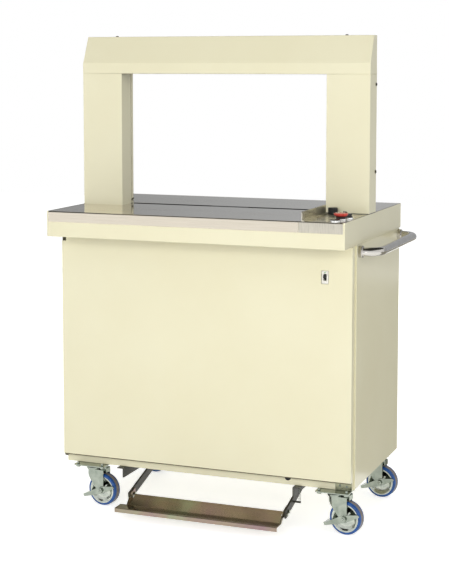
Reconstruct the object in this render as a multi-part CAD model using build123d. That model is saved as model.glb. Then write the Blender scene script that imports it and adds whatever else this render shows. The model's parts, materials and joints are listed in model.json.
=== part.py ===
from build123d import *
from math import atan2, cos, degrees, pi, radians, sin, sqrt, tan
import os

# Semi-automatic strapping machine on four braked casters, in millimetres.
# The operator stands on the -Y side. X runs to the operator's right and Z is up.
# Everything is drawn about the middle of the arch (x = 0), the middle of the
# table's depth (y = 0) and the floor (z = 0), and is moved once, at the end,
# so that the origin lies under the middle of the machine's outline.

# Table
table_length = 910.0
table_depth = 610.0
table_height = 900.0
apron_height = 75.0
lip_height = 31.0
lip_end_gap = 5.5
plate = 1.5
table_sheet = 2.0
ledge_width = 15.0
seam_inset = 2.0
plate_gap = 0.5
slot_y = 11.0
slot_width = 24.0
slot_fold = 16.0
head_bar = 15.0
head_bar_height = 24.0

# Arch
arch_width = 650.0
arch_height = 400.0
column_front = -60.0
column_back = 10.0
arch_sheet = 2.0
strap_slot = 4.0
strap_slot_y = 7.5
foot_depth = 18.0
beam_height = 112.0
beam_fold = 33.0
beam_lean = 36.0
cover_tab = 18.0
cover_inset = 12.0
screw_radius = 4.5
screw_head = 3.0
screw_round = 1.4
beam_screw_reach = 42.0
low_screw_rise = 119.0
high_screw_drop = 29.0

# Strap track inside the arch
track_width = 16.0
track_depth = 12.0
track_wall = 1.5
track_corner = 34.0
track_gap = 0.3
slide_length = 120.0
slide_height = 10.0

# Cabinet
cabinet_inset = 3.0
cabinet_bottom = 125.0
cabinet_setback = 110.0
side_setback = 14.0
rear_setback = 2.0
panel_sheet = 2.0
frame_sheet = 2.5
rail_height = 28.0
rail_depth = 30.0
cross_rail_y = -60.0
vent_count = 9
vent_length = 120.0
vent_width = 8.0
vent_pitch = 22.0

# Door
door_rest = 2.0
door_depth = 19.0
door_sheet = 1.5
door_gap = 2.0
hinge_inset = 4.0
hinge_depth = 10.0
hinge_pin_radius = 2.5
hinge_notch = 14.0
hinge_notch_height = 20.0
running_gap = 0.06
seat_gap = 0.3

# Breaker behind the door
breaker_inset = 79.8
breaker_drop = 89.5
breaker_nose_width = 19.5
breaker_nose_height = 36.0
breaker_window_gap = 1.0
breaker_body_depth = 58.0
breaker_body_margin = 12.0
toggle_width = 8.6
toggle_radius = 7.0
toggle_reach = 14.0
toggle_thickness = 8.0
toggle_depth = 10.0
toggle_tilt = 12.0

# Controls: insets are from the table's right side, setbacks from its front,
# gaps from the column's front
start_inset = 33.0
start_setback = 19.0
stop_inset = 29.0
stop_setback = 60.0
mode_inset = 21.0
mode_setback = 102.0
reset_inset = 46.0
reset_gap = 85.0
knob_reach = 31.0
knob_gap = 24.0
bezel_radius = 15.0
bezel_height = 6.0
bezel_floor = 1.0
bezel_recess = 13.5
sleeve_radius = 11.0
sleeve_bore = 9.0
sleeve_drop = 24.0
nut_radius = 14.5
nut_height = 5.0
cap_radius = 13.2
button_travel = 3.0
mushroom_radius = 20.0
mushroom_height = 12.0
mushroom_rim = 4.0
neck_height = 5.0
selector_length = 24.0
selector_thickness = 6.5
selector_height = 8.0
selector_turn = 30.0
knob_radius = 14.0
knob_height = 19.0
knob_flutes = 18
knob_stem = 4.0

# Guard beside the control panel
guard_reach = 8.0
guard_height = 27.0
guard_gap = 25.0
guard_sheet = 2.5
guard_corner = 3.0
guard_foot = 8.0

# Push handle on the right side
handle_reach = 56.0
handle_setback = 31.0
handle_tail = 18.0
handle_drop = 21.0
handle_radius = 12.5
handle_bend = 48.0
flange_radius = 17.0
flange_length = 12.0

# Undercarriage: the casters and treadle sit a little to the right of the middle
under_shift = 17.5
caster_inset = 70.5
caster_front_gap = 9.5
caster_back_gap = 104.5
caster_turn = -7.0
wheel_radius = 48.0
wheel_offset = 35.0
tyre_width = 30.0
tyre_thickness = 9.0
tyre_shoulder = 5.0
rim_width = 29.0
hub_radius = 11.0
fork_half = 17.5
fork_sheet = 2.5
fork_top = 109.0
fork_boss = 12.0
head_radius = 24.0
race_radius = 27.0
race_height = 6.0
kingpin_radius = 6.0
axle_radius = 5.0
block_half = 11.0
block_drop = 9.0
axle_nut_flats = 15.0
axle_nut_height = 6.0
mount_length = 100.0
mount_width = 85.0
mount_thickness = 3.0
mount_spacing_x = 80.0
mount_spacing_y = 60.0
bolt_radius = 4.0
bolt_flats = 13.0
bolt_head = 5.5
bolt_clearance = 0.5
pad_margin = 10.0
pad_thickness = 6.0
lever_plate = 2.5
lever_gap = 0.4
pedal_length = 17.0
pedal_reach = 61.5
pedal_drop = 22.0
tail_reach = 46.0
tail_rise = 13.0

# Treadle
treadle_left_inset = 218.0
treadle_right_inset = 184.0
treadle_front = -320.0
tread_height = 37.0
tread_depth = 40.0
treadle_lip = 13.0
slope_depth = 37.0
slope_rise = 24.0
treadle_sheet = 3.0
pivot_y = -90.0
pivot_z = 105.2
shaft_radius = 6.0
arm_width = 24.0
arm_thickness = 6.0
arm_length = 175.0
arm_angle = 16.7
left_arm_inset = 16.0
ear_sheet = 3.0
ear_length = 34.0
head_relief = 6.0
head_relief_front = -257.0
arm_bolts = ((-234.0, 58.5), (-249.0, 53.5))
arm_bolt_radius = 3.0
arm_bolt_flats = 10.0
arm_bolt_head = 4.5
bracket_left_gap = 24.0
bracket_right_gap = 10.0
bracket_sheet = 4.0
bracket_front = -213.0
bracket_back = -50.0
bracket_margin = 4.0
bracket_flange = 22.0
bracket_flange_sheet = 3.0
spring_pin_y = -190.0
spring_pin_z = 75.5
spring_pin_radius = 3.0
spring_pin_reach = 22.0
spring_radius = 4.0
spring_wire = 1.2
spring_turns = 9

# Inside the cabinet
reel_inset = 282.0
reel_rise = 3.5
reel_front = -70.0
reel_width = 220.0
reel_flange_radius = 215.0
reel_flange_sheet = 3.0
reel_core_radius = 100.0
reel_core_wall = 4.0
reel_holes = 6
reel_hole_radius = 30.0
reel_hole_ring = 155.0
coil_radius = 195.0
reel_shaft_radius = 12.0
reel_boss_radius = 22.0
stand_width = 60.0
stand_sheet = 6.0
stand_foot = 120.0
head_left = -110.0
head_right = 130.0
head_drop = 200.0
head_plate = 8.0
head_gap = 15.0
press_width = 20.0
press_drop = 70.0
front_plate_height = 120.0
press_count = 3
roller_x = 88.0
feed_roller_drop = 66.0
feed_roller_radius = 30.0
pinch_roller_radius = 20.0
roller_width = 16.0
strap_thickness = 0.6
roller_shaft = 6.0
motor_x = -20.0
motor_drop = 151.0
motor_end = 20.0
fin_height = 5.0
motor_radius = 45.0
motor_length = 150.0
motor_fins = 10
gearbox_size = 100.0
gearbox_depth = 60.0
box_inset = 30.0
box_width = 230.0
box_drop = 405.0
box_height = 260.0
box_depth = 110.0
box_sheet = 2.0


def slab(x0, x1, y0, y1, z0, z1):
    """Box between two opposite corners."""
    middle = Pos((x0 + x1) / 2, (y0 + y1) / 2, (z0 + z1) / 2)
    return middle * Box(x1 - x0, y1 - y0, z1 - z0)


def rod_x(radius, x0, x1, y, z):
    return Pos((x0 + x1) / 2, y, z) * Rot(0, 90, 0) * Cylinder(radius, x1 - x0)


def rod_y(radius, x, y0, y1, z):
    return Pos(x, (y0 + y1) / 2, z) * Rot(90, 0, 0) * Cylinder(radius, y1 - y0)


def rod_z(radius, x, y, z0, z1):
    return Pos(x, y, (z0 + z1) / 2) * Cylinder(radius, z1 - z0)


def hex_z(flats, x, y, z0, z1):
    """Hexagonal head or nut that stands along Z."""
    outline = RegularPolygon(flats / 2, 6, major_radius=False)
    return Pos(x, y, z0) * extrude(outline, z1 - z0)


def hex_x(flats, x0, x1, y, z):
    outline = RegularPolygon(flats / 2, 6, major_radius=False)
    return Pos(x0, y, z) * Rot(0, 90, 0) * extrude(outline, x1 - x0)


def side_profile(points, x0, x1):
    """Outline given as (y, z) points, extruded along X from x0 to x1."""
    face = Plane.YZ * make_face(Polyline(*points, close=True))
    return Pos(x0, 0, 0) * extrude(face, x1 - x0)


def front_profile(points, y0, y1):
    """Outline given as (x, z) points, extruded along Y from y0 to y1."""
    face = Plane.XZ * make_face(Polyline(*points, close=True))
    return Pos(0, y1, 0) * extrude(face, y1 - y0)


def mirrored(shape):
    """The same piece on the left-hand side."""
    return mirror(shape, Plane.YZ)


# Levels and edges that several pieces share
half_length = table_length / 2
half_depth = table_depth / 2
apron_bottom = table_height - apron_height
plate_bottom = table_height - plate
slot_front = slot_y - slot_width / 2
slot_back = slot_y + slot_width / 2
strap_front = strap_slot_y - strap_slot / 2
strap_back = strap_slot_y + strap_slot / 2
cover_back = slot_y + track_width / 2 + track_wall + track_gap + arch_sheet
half_arch = arch_width / 2
column_outer = half_length
panel_seam_x = half_arch - seam_inset
beam_bottom = table_height + arch_height
beam_top = beam_bottom + beam_height
foot_bottom = table_height - foot_depth
screw_levels = (table_height + low_screw_rise, beam_bottom - high_screw_drop)
beam_screw_x = half_arch + beam_screw_reach
half_cabinet = half_length - cabinet_inset
cabinet_front = -half_depth + cabinet_setback
side_front = cabinet_front + side_setback
cabinet_back = half_depth - rear_setback
frame_side = half_cabinet - panel_sheet
frame_back = cabinet_back - panel_sheet
rail_top = cabinet_bottom + rail_height
door_front = cabinet_front - door_rest - door_depth
door_back = door_front + door_depth
door_bottom = rail_top
door_top = apron_bottom - door_gap
hinge_x = -half_cabinet + hinge_inset
hinge_y = door_front + hinge_depth
breaker_x = half_cabinet - breaker_inset
breaker_z = apron_bottom - breaker_drop
start_place = (half_length - start_inset, -half_depth + start_setback)
stop_place = (half_length - stop_inset, -half_depth + stop_setback)
mode_place = (half_length - mode_inset, -half_depth + mode_setback)
reset_place = (half_length - reset_inset, column_front - reset_gap)
knob_place = (panel_seam_x + knob_reach, column_front - knob_gap)
guard_x = panel_seam_x + guard_reach
guard_back = column_front - guard_gap
handle_front = side_front + handle_setback
handle_back = cabinet_back - handle_tail
handle_z = apron_bottom - handle_drop
treadle_left = -half_cabinet + treadle_left_inset
treadle_right = half_cabinet - treadle_right_inset
bracket_left = treadle_left - bracket_left_gap
bracket_right = treadle_right + bracket_right_gap
head_bottom = table_height - head_drop
feed_roller_z = table_height - feed_roller_drop
motor_z = table_height - motor_drop
reel_x = -half_cabinet + reel_inset
reel_z = (rail_top + head_bottom) / 2 + reel_rise
box_right = frame_side - box_inset
box_left = box_right - box_width
box_bottom = apron_bottom - box_drop


def column_footprint(gap):
    """Room that the right-hand column and its cover need in the table plates."""
    casing = slab(half_arch - gap, half_length - table_sheet, column_front - gap,
                  column_back + gap, foot_bottom, table_height)
    cover = slab(half_arch - gap, column_outer - cover_inset + gap, column_back,
                 cover_back + gap, foot_bottom, table_height)
    return casing + cover


def table_frame():
    front = -half_depth + plate
    shell = slab(-half_length, half_length, front, half_depth, apron_bottom, table_height)
    inside = slab(-half_length + table_sheet, half_length - table_sheet,
                  front + table_sheet, half_depth - table_sheet, apron_bottom, table_height)
    frame = shell - inside
    frame -= slab(-half_length + lip_end_gap, half_length - lip_end_gap,
                  front, front + table_sheet, plate_bottom, table_height)
    ledge_out = slab(-half_length + table_sheet, half_length - table_sheet,
                     front + table_sheet, half_depth - table_sheet,
                     plate_bottom - table_sheet, plate_bottom)
    ledge_in = slab(-half_length + ledge_width, half_length - ledge_width,
                    front + ledge_width, half_depth - ledge_width,
                    plate_bottom - table_sheet, plate_bottom)
    controls_room = slab(panel_seam_x, half_length - table_sheet, front + table_sheet,
                         guard_back - ledge_width, plate_bottom - table_sheet, plate_bottom)
    frame += ledge_out - ledge_in - controls_room
    flange_out = slab(-half_length + table_sheet, half_length - table_sheet,
                      front + table_sheet, half_depth - table_sheet,
                      apron_bottom, apron_bottom + table_sheet)
    flange_in = slab(-frame_side + rail_depth, frame_side - rail_depth,
                     front + ledge_width, frame_back - rail_depth,
                     apron_bottom, apron_bottom + table_sheet)
    frame += flange_out - flange_in
    bar_top = table_height - foot_depth
    for x0 in (head_left - head_bar, head_right):
        frame += slab(x0, x0 + head_bar, front + table_sheet, half_depth - table_sheet,
                      bar_top - head_bar_height, bar_top)
    right_room = column_footprint(plate_gap)
    frame -= right_room
    frame -= mirrored(right_room)
    pad = slab(half_arch, half_length - table_sheet, column_front, column_back,
               foot_bottom - table_sheet, foot_bottom)
    return frame + pad + mirrored(pad)


def front_table_plate():
    left = -half_length + table_sheet + plate_gap
    top = slab(left, panel_seam_x - plate_gap / 2, -half_depth, slot_front,
               plate_bottom, table_height)
    corner = slab(left, -half_length + lip_end_gap, -half_depth,
                  -half_depth + plate + table_sheet + plate_gap, plate_bottom, table_height)
    lip = slab(-half_length + lip_end_gap, panel_seam_x - plate_gap / 2,
               -half_depth, -half_depth + plate, table_height - lip_height, table_height)
    beside_column = slab(panel_seam_x - plate_gap, half_arch - plate_gap, column_front,
                         slot_front, plate_bottom, table_height)
    fold = slab(-half_arch + plate_gap, half_arch - plate_gap,
                slot_front - plate, slot_front, table_height - slot_fold, table_height)
    return top - corner + lip + beside_column + fold - mirrored(column_footprint(plate_gap))


def control_panel():
    left = panel_seam_x + plate_gap / 2
    right = half_length - table_sheet - plate_gap
    top = slab(left, right, -half_depth, column_front - plate_gap, plate_bottom, table_height)
    corner = slab(half_length - lip_end_gap, right, -half_depth,
                  -half_depth + plate + table_sheet + plate_gap, plate_bottom, table_height)
    lip = slab(left, half_length - lip_end_gap, -half_depth, -half_depth + plate,
               table_height - lip_height, table_height)
    panel = top - corner + lip
    for x, y in (start_place, stop_place, mode_place, reset_place):
        panel -= rod_z(sleeve_radius + running_gap, x, y, plate_bottom, table_height)
    return panel - rod_z(knob_stem + running_gap, *knob_place, plate_bottom, table_height)


def rear_table_plate():
    side = half_length - table_sheet - plate_gap
    top = slab(-side, side, slot_back, half_depth - table_sheet - plate_gap,
               plate_bottom, table_height)
    fold = slab(-half_arch + plate_gap, half_arch - plate_gap, slot_back, slot_back + plate,
                table_height - slot_fold, table_height)
    right_room = column_footprint(plate_gap)
    return top + fold - right_room - mirrored(right_room)


def panel_guard():
    """Upright that keeps packages off the controls, folded outwards at its foot."""
    front = -half_depth + plate
    upright = slab(guard_x, guard_x + guard_sheet, front, guard_back,
                   table_height, table_height + guard_height)
    foot = slab(guard_x, guard_x + guard_foot, front, guard_back,
                table_height, table_height + guard_sheet)
    corners = (upright + foot).edges().filter_by(Axis.X).group_by(Axis.Z)[-1]
    return fillet(corners, guard_corner)


def right_column():
    """Folded casing, open to the back, with the strap slot on its inner side."""
    outer = slab(half_arch, column_outer, column_front, column_back, foot_bottom, beam_bottom)
    inner = slab(half_arch + arch_sheet, column_outer - arch_sheet,
                 column_front + arch_sheet, column_back, foot_bottom, beam_bottom)
    slot = slab(half_arch, half_arch + arch_sheet, strap_front, column_back,
                foot_bottom, beam_bottom)
    casing = outer - inner - slot
    front_edges = casing.edges().filter_by(Axis.Z).group_by(Axis.Y)[0]
    casing = fillet(front_edges, 1.2)
    outside = slab(half_length - table_sheet, column_outer, column_front, column_back,
                   foot_bottom, table_height)
    track_room = slab(half_arch, half_arch + arch_sheet, slot_front, column_back,
                      foot_bottom, table_height)
    return casing - outside - track_room


def column_rear_cover():
    """Tray behind the right-hand column: back, flange behind the slot, and screwed rim."""
    side = column_outer - cover_inset
    back = slab(half_arch, side, cover_back - arch_sheet, cover_back, foot_bottom, beam_bottom)
    flange = slab(half_arch, half_arch + arch_sheet, strap_back, cover_back,
                  table_height, beam_bottom)
    wall = slab(side - arch_sheet, side, column_back - arch_sheet, cover_back,
                foot_bottom, beam_bottom)
    rim = slab(side - arch_sheet, column_outer - arch_sheet, column_back - arch_sheet,
               column_back, foot_bottom, beam_bottom)
    tab = slab(column_outer - 2 * arch_sheet, column_outer - arch_sheet,
               column_back - cover_tab, column_back, foot_bottom, beam_bottom)
    return back + flange + wall + rim + tab


def beam_section(inset):
    """Beam's outline in YZ, drawn in by the inset."""
    fold_angle = atan2(beam_lean, beam_height - beam_fold)
    top = beam_top - inset
    front = column_front + inset
    fold_z = beam_bottom + beam_fold - inset * tan(fold_angle / 2)
    lean_y = front + (top - fold_z) * tan(fold_angle)
    return [(front, beam_bottom), (front, fold_z), (lean_y, top),
            (column_back, top), (column_back, beam_bottom)]


def beam_cover():
    outer = side_profile(beam_section(0), -column_outer, column_outer)
    inner = side_profile(beam_section(arch_sheet), -column_outer + arch_sheet,
                         column_outer - arch_sheet)
    floor = slab(-half_arch, half_arch, column_front + arch_sheet / 2, strap_front,
                 beam_bottom, beam_bottom + arch_sheet)
    return outer - inner + floor


def beam_rear_cover():
    side = column_outer - cover_inset
    rim_side = column_outer - arch_sheet
    tray = slab(-side, side, column_back - arch_sheet, cover_back,
                beam_bottom, beam_top - cover_inset)
    tray -= slab(-side + arch_sheet, side - arch_sheet, column_back - arch_sheet,
                 cover_back - arch_sheet, beam_bottom, beam_top - cover_inset - arch_sheet)
    rim = slab(-rim_side, rim_side, column_back - arch_sheet, column_back,
               beam_bottom, beam_top - arch_sheet)
    rim -= slab(-side, side, column_back - arch_sheet, column_back,
                beam_bottom, beam_top - cover_inset)
    flange = slab(-half_arch, half_arch, strap_back, cover_back,
                  beam_bottom, beam_bottom + arch_sheet)
    tab = slab(-rim_side, rim_side, column_back - cover_tab, column_back,
               beam_top - 2 * arch_sheet, beam_top - arch_sheet)
    return tray + rim + flange + tab


def arch_rear_covers():
    side = column_rear_cover()
    return [side, mirrored(side), beam_rear_cover()]


track_mouth_x = half_arch + arch_sheet + track_gap
track_mouth_top = beam_bottom + arch_sheet + track_gap
track_mouth_low = plate_bottom - arch_sheet


def ring_outline(grow, corner):
    """Closed loop of the strap's way through arch and table, in XZ."""
    width = 2 * (track_mouth_x + grow)
    height = track_mouth_top - track_mouth_low + 2 * grow
    middle = (track_mouth_top + track_mouth_low) / 2
    if corner > 0:
        loop = RectangleRounded(width, height, corner)
    else:
        loop = Rectangle(width, height)
    return Plane.XZ * Pos(0, middle) * loop


def arch_track():
    """Channel that leads the strap round the package, open towards it."""
    reach = track_depth + track_wall
    outside = track_width / 2 + track_wall
    body = extrude(ring_outline(reach, reach), outside, both=True)
    body -= extrude(ring_outline(0, 0), outside, both=True)
    body -= extrude(ring_outline(track_depth, track_depth), track_width / 2, both=True)
    body = Pos(0, slot_y, 0) * body
    gap = slide_length / 2 + seat_gap
    return body - slab(-gap, gap, slot_front, slot_back, foot_bottom - reach, table_height)


def slide_plate():
    half = slide_length / 2
    block = slab(-half, half, slot_front + seat_gap, slot_back - seat_gap,
                 table_height - slide_height, table_height)
    groove = slab(-half, half, slot_y - strap_slot / 2, slot_y + strap_slot / 2,
                  table_height - 2.0, table_height)
    return block - groove


def arch_screws():
    """Pan-head screws that hold the rear covers: two on the beam, two on each column."""
    y = column_back - cover_tab / 2
    on_beam = rod_z(screw_radius, beam_screw_x, y, beam_top, beam_top + screw_head)
    on_beam = fillet(on_beam.edges().group_by(Axis.Z)[-1], screw_round)
    screws = [on_beam, mirrored(on_beam)]
    for z in screw_levels:
        head = rod_x(screw_radius, column_outer, column_outer + screw_head, y, z)
        head = fillet(head.edges().group_by(Axis.X)[-1], screw_round)
        screws += [head, mirrored(head)]
    return screws


def channel_rail(x0, x1, y0, y1, pocket_x, pocket_y):
    """Base rail of folded sheet: a channel whose open side is moved by the pocket."""
    rail = slab(x0, x1, y0, y1, cabinet_bottom, rail_top)
    pocket = slab(x0, x1, y0, y1, cabinet_bottom + frame_sheet, rail_top - frame_sheet)
    return rail - Pos(pocket_x, pocket_y, 0) * pocket


def corner_post(x_sign, y_sign):
    x_out = x_sign * frame_side
    x_in = x_sign * (frame_side - rail_depth)
    y_out = cabinet_front if y_sign < 0 else frame_back
    y_in = y_out - y_sign * rail_depth
    bottom = rail_top - frame_sheet
    post = slab(min(x_out, x_in), max(x_out, x_in), min(y_out, y_in), max(y_out, y_in),
                bottom, apron_bottom)
    room = Pos(-x_sign * frame_sheet, -y_sign * frame_sheet, 0) * post
    return post - room


caster_spread = half_cabinet - caster_inset
caster_places = [(x * caster_spread + under_shift, y)
                 for y in (cabinet_front + caster_front_gap, cabinet_back - caster_back_gap)
                 for x in (-1, 1)]


def cabinet_frame():
    """Welded frame of folded channels and angles."""
    front, back = cabinet_front, frame_back
    frame = channel_rail(-frame_side, frame_side, front, front + rail_depth, 0, frame_sheet)
    frame += channel_rail(-frame_side, frame_side, back - rail_depth, back, 0, -frame_sheet)
    frame += channel_rail(-frame_side, -frame_side + rail_depth, front, back, frame_sheet, 0)
    frame += channel_rail(frame_side - rail_depth, frame_side, front, back, -frame_sheet, 0)
    for x_sign in (-1, 1):
        for y_sign in (-1, 1):
            frame += corner_post(x_sign, y_sign)
    head_rail = apron_bottom - rail_height
    frame += slab(-frame_side, frame_side, front, front + frame_sheet, head_rail, apron_bottom)
    frame += slab(-frame_side, frame_side, back - frame_sheet, back, head_rail, apron_bottom)
    for x_sign in (-1, 1):
        x_out = x_sign * frame_side
        x_in = x_out - x_sign * frame_sheet
        frame += slab(min(x_out, x_in), max(x_out, x_in), front, back, head_rail, apron_bottom)
    frame += slab(-frame_side, frame_side, cross_rail_y - rail_depth / 2,
                  cross_rail_y + rail_depth / 2, cabinet_bottom, cabinet_bottom + frame_sheet)
    for x, y in caster_places:
        x_edge = frame_side if x > 0 else -frame_side
        y_edge = back if y > 0 else front
        x_reach = x - (mount_length / 2 + pad_margin) * (1 if x > 0 else -1)
        y_reach = y - (mount_width / 2 + pad_margin) * (1 if y > 0 else -1)
        frame += slab(min(x_edge, x_reach), max(x_edge, x_reach),
                      min(y_edge, y_reach), max(y_edge, y_reach),
                      cabinet_bottom, cabinet_bottom + pad_thickness)
    for x, y in caster_places:
        for bolt_x, bolt_y in bolt_places(x, y):
            frame -= rod_z(bolt_radius + bolt_clearance, bolt_x, bolt_y,
                           cabinet_bottom, cabinet_bottom + pad_thickness)
    bracket_left_x = breaker_x - breaker_nose_width / 2 - breaker_body_margin
    half_height = breaker_nose_height / 2 + breaker_body_margin
    bracket = slab(bracket_left_x, frame_side - frame_sheet, front, front + frame_sheet,
                   breaker_z - half_height, breaker_z + half_height)
    bracket -= slab(breaker_x - breaker_nose_width / 2, breaker_x + breaker_nose_width / 2,
                    front, front + frame_sheet,
                    breaker_z - breaker_nose_height / 2, breaker_z + breaker_nose_height / 2)
    return frame + bracket


def right_side_panel():
    panel = slab(frame_side, half_cabinet, side_front, cabinet_back, cabinet_bottom, apron_bottom)
    fold = slab(frame_side - ledge_width, half_cabinet, frame_back, cabinet_back,
                cabinet_bottom, apron_bottom)
    return panel + fold


def rear_panel():
    side = frame_side - ledge_width - plate_gap
    panel = slab(-side, side, frame_back, cabinet_back, cabinet_bottom, apron_bottom)
    first = -vent_pitch * (vent_count - 1) / 2
    for index in range(vent_count):
        x = first + index * vent_pitch
        for z in (rail_top + vent_length, apron_bottom - vent_length):
            slot = SlotOverall(vent_length, vent_width, rotation=90)
            cut = extrude(Plane.XZ * Pos(x, z) * slot, cabinet_back, both=False)
            panel -= Pos(0, cabinet_back + 1, 0) * cut & slab(
                -side, side, frame_back - 1, cabinet_back + 1, cabinet_bottom, apron_bottom)
    return panel


def floor_pan():
    side = frame_side - frame_sheet - plate_gap
    front = cabinet_front + frame_sheet + plate_gap
    back = frame_back - frame_sheet - plate_gap
    pan = slab(-side, side, front, back, rail_top, rail_top + panel_sheet)
    rim = slab(-side, side, front, back, rail_top + panel_sheet, rail_top + ledge_width)
    rim -= slab(-side + panel_sheet, side - panel_sheet, front + panel_sheet,
                back - panel_sheet, rail_top + panel_sheet, rail_top + ledge_width)
    pan += rim
    corner = rail_depth
    for x in (-side, side):
        for y in (front, back):
            pan -= Pos(x, y, rail_top + ledge_width / 2) * Box(2 * corner, 2 * corner, ledge_width)
    return pan


def front_door():
    """Folded pan with a notch for the upper hinge and a window for the breaker."""
    left, right = -half_cabinet, half_cabinet
    door = slab(left, right, door_front, door_back, door_bottom, door_top)
    door = fillet(door.edges().group_by(Axis.Y)[0], 1.2)
    door -= slab(left + door_sheet, right - door_sheet, door_front + door_sheet, door_back,
                 door_bottom + door_sheet, door_top - door_sheet)
    notch_x = left + hinge_notch
    notch_z = door_top - hinge_notch_height
    door += slab(left + door_sheet / 2, notch_x + door_sheet, door_front + door_sheet / 2,
                 door_back, notch_z - door_sheet, door_top - door_sheet / 2)
    door -= slab(left, notch_x, door_front, door_back, notch_z, door_top)
    window_x = breaker_nose_width / 2 + breaker_window_gap
    window_z = breaker_nose_height / 2 + breaker_window_gap
    door -= slab(breaker_x - window_x, breaker_x + window_x, door_front,
                 door_front + door_sheet, breaker_z - window_z, breaker_z + window_z)
    door -= rod_z(hinge_pin_radius + running_gap, hinge_x, hinge_y,
                  notch_z - door_sheet, notch_z)
    return door - rod_z(hinge_pin_radius + running_gap, hinge_x, hinge_y,
                        door_bottom, door_bottom + door_sheet)


def door_hinges():
    """Upper and lower hinge blocks, each with its pin."""
    reach = hinge_notch - hinge_inset - 3.5
    notch_z = door_top - hinge_notch_height
    upper = slab(hinge_x - hinge_inset, hinge_x + reach, hinge_y - 6, hinge_y + 6,
                 notch_z + seat_gap, apron_bottom)
    upper += rod_z(hinge_pin_radius, hinge_x, hinge_y, notch_z - 5, notch_z + 1)
    lower = slab(hinge_x - hinge_inset + panel_sheet, hinge_x + reach, hinge_y - 6, cabinet_front,
                 door_bottom - seat_gap - 7, door_bottom - seat_gap)
    lower += rod_z(hinge_pin_radius, hinge_x, hinge_y, door_bottom - 1, door_bottom + 6)
    return [upper, lower]


toggle_y = door_front + toggle_depth


def breaker_body():
    half_width = breaker_nose_width / 2
    half_height = breaker_nose_height / 2
    back = cabinet_front + frame_sheet
    nose = slab(breaker_x - half_width, breaker_x + half_width, door_front + 1.0, back,
                breaker_z - half_height, breaker_z + half_height)
    margin = breaker_body_margin
    body = slab(breaker_x - half_width - margin, breaker_x + half_width + margin,
                back, back + breaker_body_depth,
                breaker_z - half_height - margin, breaker_z + half_height + margin)
    slot_half = toggle_width / 2 + 0.4
    pocket = slab(breaker_x - slot_half, breaker_x + slot_half, door_front,
                  toggle_y + toggle_radius + 0.5,
                  breaker_z - toggle_radius - 3, breaker_z + toggle_radius + 3)
    pin = rod_x(1.5, breaker_x - slot_half, breaker_x + slot_half, toggle_y, breaker_z)
    return nose + body - pocket + pin


def breaker_toggle():
    """Rocking lever of the breaker, tilted up in its ON place."""
    drum = rod_x(toggle_radius, breaker_x - toggle_width / 2, breaker_x + toggle_width / 2,
                 toggle_y, breaker_z)
    lever = slab(breaker_x - toggle_width / 2, breaker_x + toggle_width / 2,
                 toggle_y - toggle_reach, toggle_y,
                 breaker_z - toggle_thickness / 2, breaker_z + toggle_thickness / 2)
    lever = fillet(lever.edges().group_by(Axis.Y)[0], 1.0)
    about = Pos(0, toggle_y, breaker_z)
    lever = about * Rot(-toggle_tilt, 0, 0) * Pos(0, -toggle_y, -breaker_z) * lever
    return drum + lever - rod_x(1.5 + running_gap, breaker_x - toggle_width,
                                breaker_x + toggle_width, toggle_y, breaker_z)


def control_bezel(place):
    """Round collar of a panel control, with its sleeve and nut under the panel."""
    x, y = place
    z = table_height
    collar = rod_z(bezel_radius, x, y, z, z + bezel_height)
    collar = fillet(collar.edges().group_by(Axis.Z)[-1], 1.2)
    collar -= rod_z(bezel_recess, x, y, z + bezel_floor, z + bezel_height)
    collar += rod_z(sleeve_radius, x, y, z - sleeve_drop, z + bezel_floor / 2)
    collar += rod_z(nut_radius, x, y, plate_bottom - nut_height, plate_bottom)
    return collar - rod_z(sleeve_bore, x, y, z - sleeve_drop, z + bezel_height)


def control_bezels():
    return [control_bezel(p) for p in (start_place, stop_place, mode_place, reset_place)]


cap_bottom = table_height + bezel_floor + button_travel + seat_gap
stem_bottom = table_height - sleeve_drop + button_travel


def control_stem(place, top):
    return rod_z(sleeve_bore - running_gap, *place, stem_bottom, top)


def start_button():
    cap = rod_z(cap_radius, *start_place, cap_bottom, cap_bottom + 3.2)
    cap = fillet(cap.edges().group_by(Axis.Z)[-1], 1.0)
    return cap + control_stem(start_place, cap_bottom + 1)


def stop_button():
    """Mushroom head on a dark collar."""
    x, y = stop_place
    neck_top = cap_bottom + neck_height
    rim_bottom = neck_top + mushroom_height - mushroom_rim
    flare = Cone(cap_radius, mushroom_radius, rim_bottom - neck_top)
    flare = Pos(x, y, (neck_top + rim_bottom) / 2) * flare
    rim = rod_z(mushroom_radius, x, y, rim_bottom, neck_top + mushroom_height)
    rim = fillet(rim.edges().group_by(Axis.Z)[-1], mushroom_rim * 0.7)
    neck = rod_z(cap_radius, x, y, cap_bottom, neck_top)
    return rim + flare + neck + control_stem(stop_place, cap_bottom + 1)


def selector(place, turn):
    """Disc with a raised finger bar that points the way it is turned."""
    x, y = place
    base = table_height + bezel_floor + seat_gap
    disc_top = table_height + bezel_height + 1.5
    disc = rod_z(cap_radius, x, y, base, disc_top)
    bar = Box(selector_thickness, selector_length, selector_height)
    bar = fillet(bar.edges().group_by(Axis.Z)[-1], 1.2)
    bar = Pos(x, y, disc_top + selector_height / 2) * Rot(0, 0, turn) * bar
    return disc + bar + control_stem(place, base + 1)


def mode_selector():
    return selector(mode_place, -selector_turn)


def reset_selector():
    return selector(reset_place, selector_turn)


def tension_knob():
    x, y = knob_place
    base = table_height + seat_gap
    top = table_height + knob_height
    knob = rod_z(knob_radius, x, y, base, top)
    knob = fillet(knob.edges().group_by(Axis.Z)[-1], 2.0)
    for index in range(knob_flutes):
        angle = 2 * 180 / knob_flutes * index
        flute_x = x + (knob_radius + 0.6) * cos(radians(angle))
        flute_y = y + (knob_radius + 0.6) * sin(radians(angle))
        knob -= rod_z(1.4, flute_x, flute_y, base, top - 3)
    return knob + rod_z(knob_stem, x, y, plate_bottom - 8, base + 1)


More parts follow.
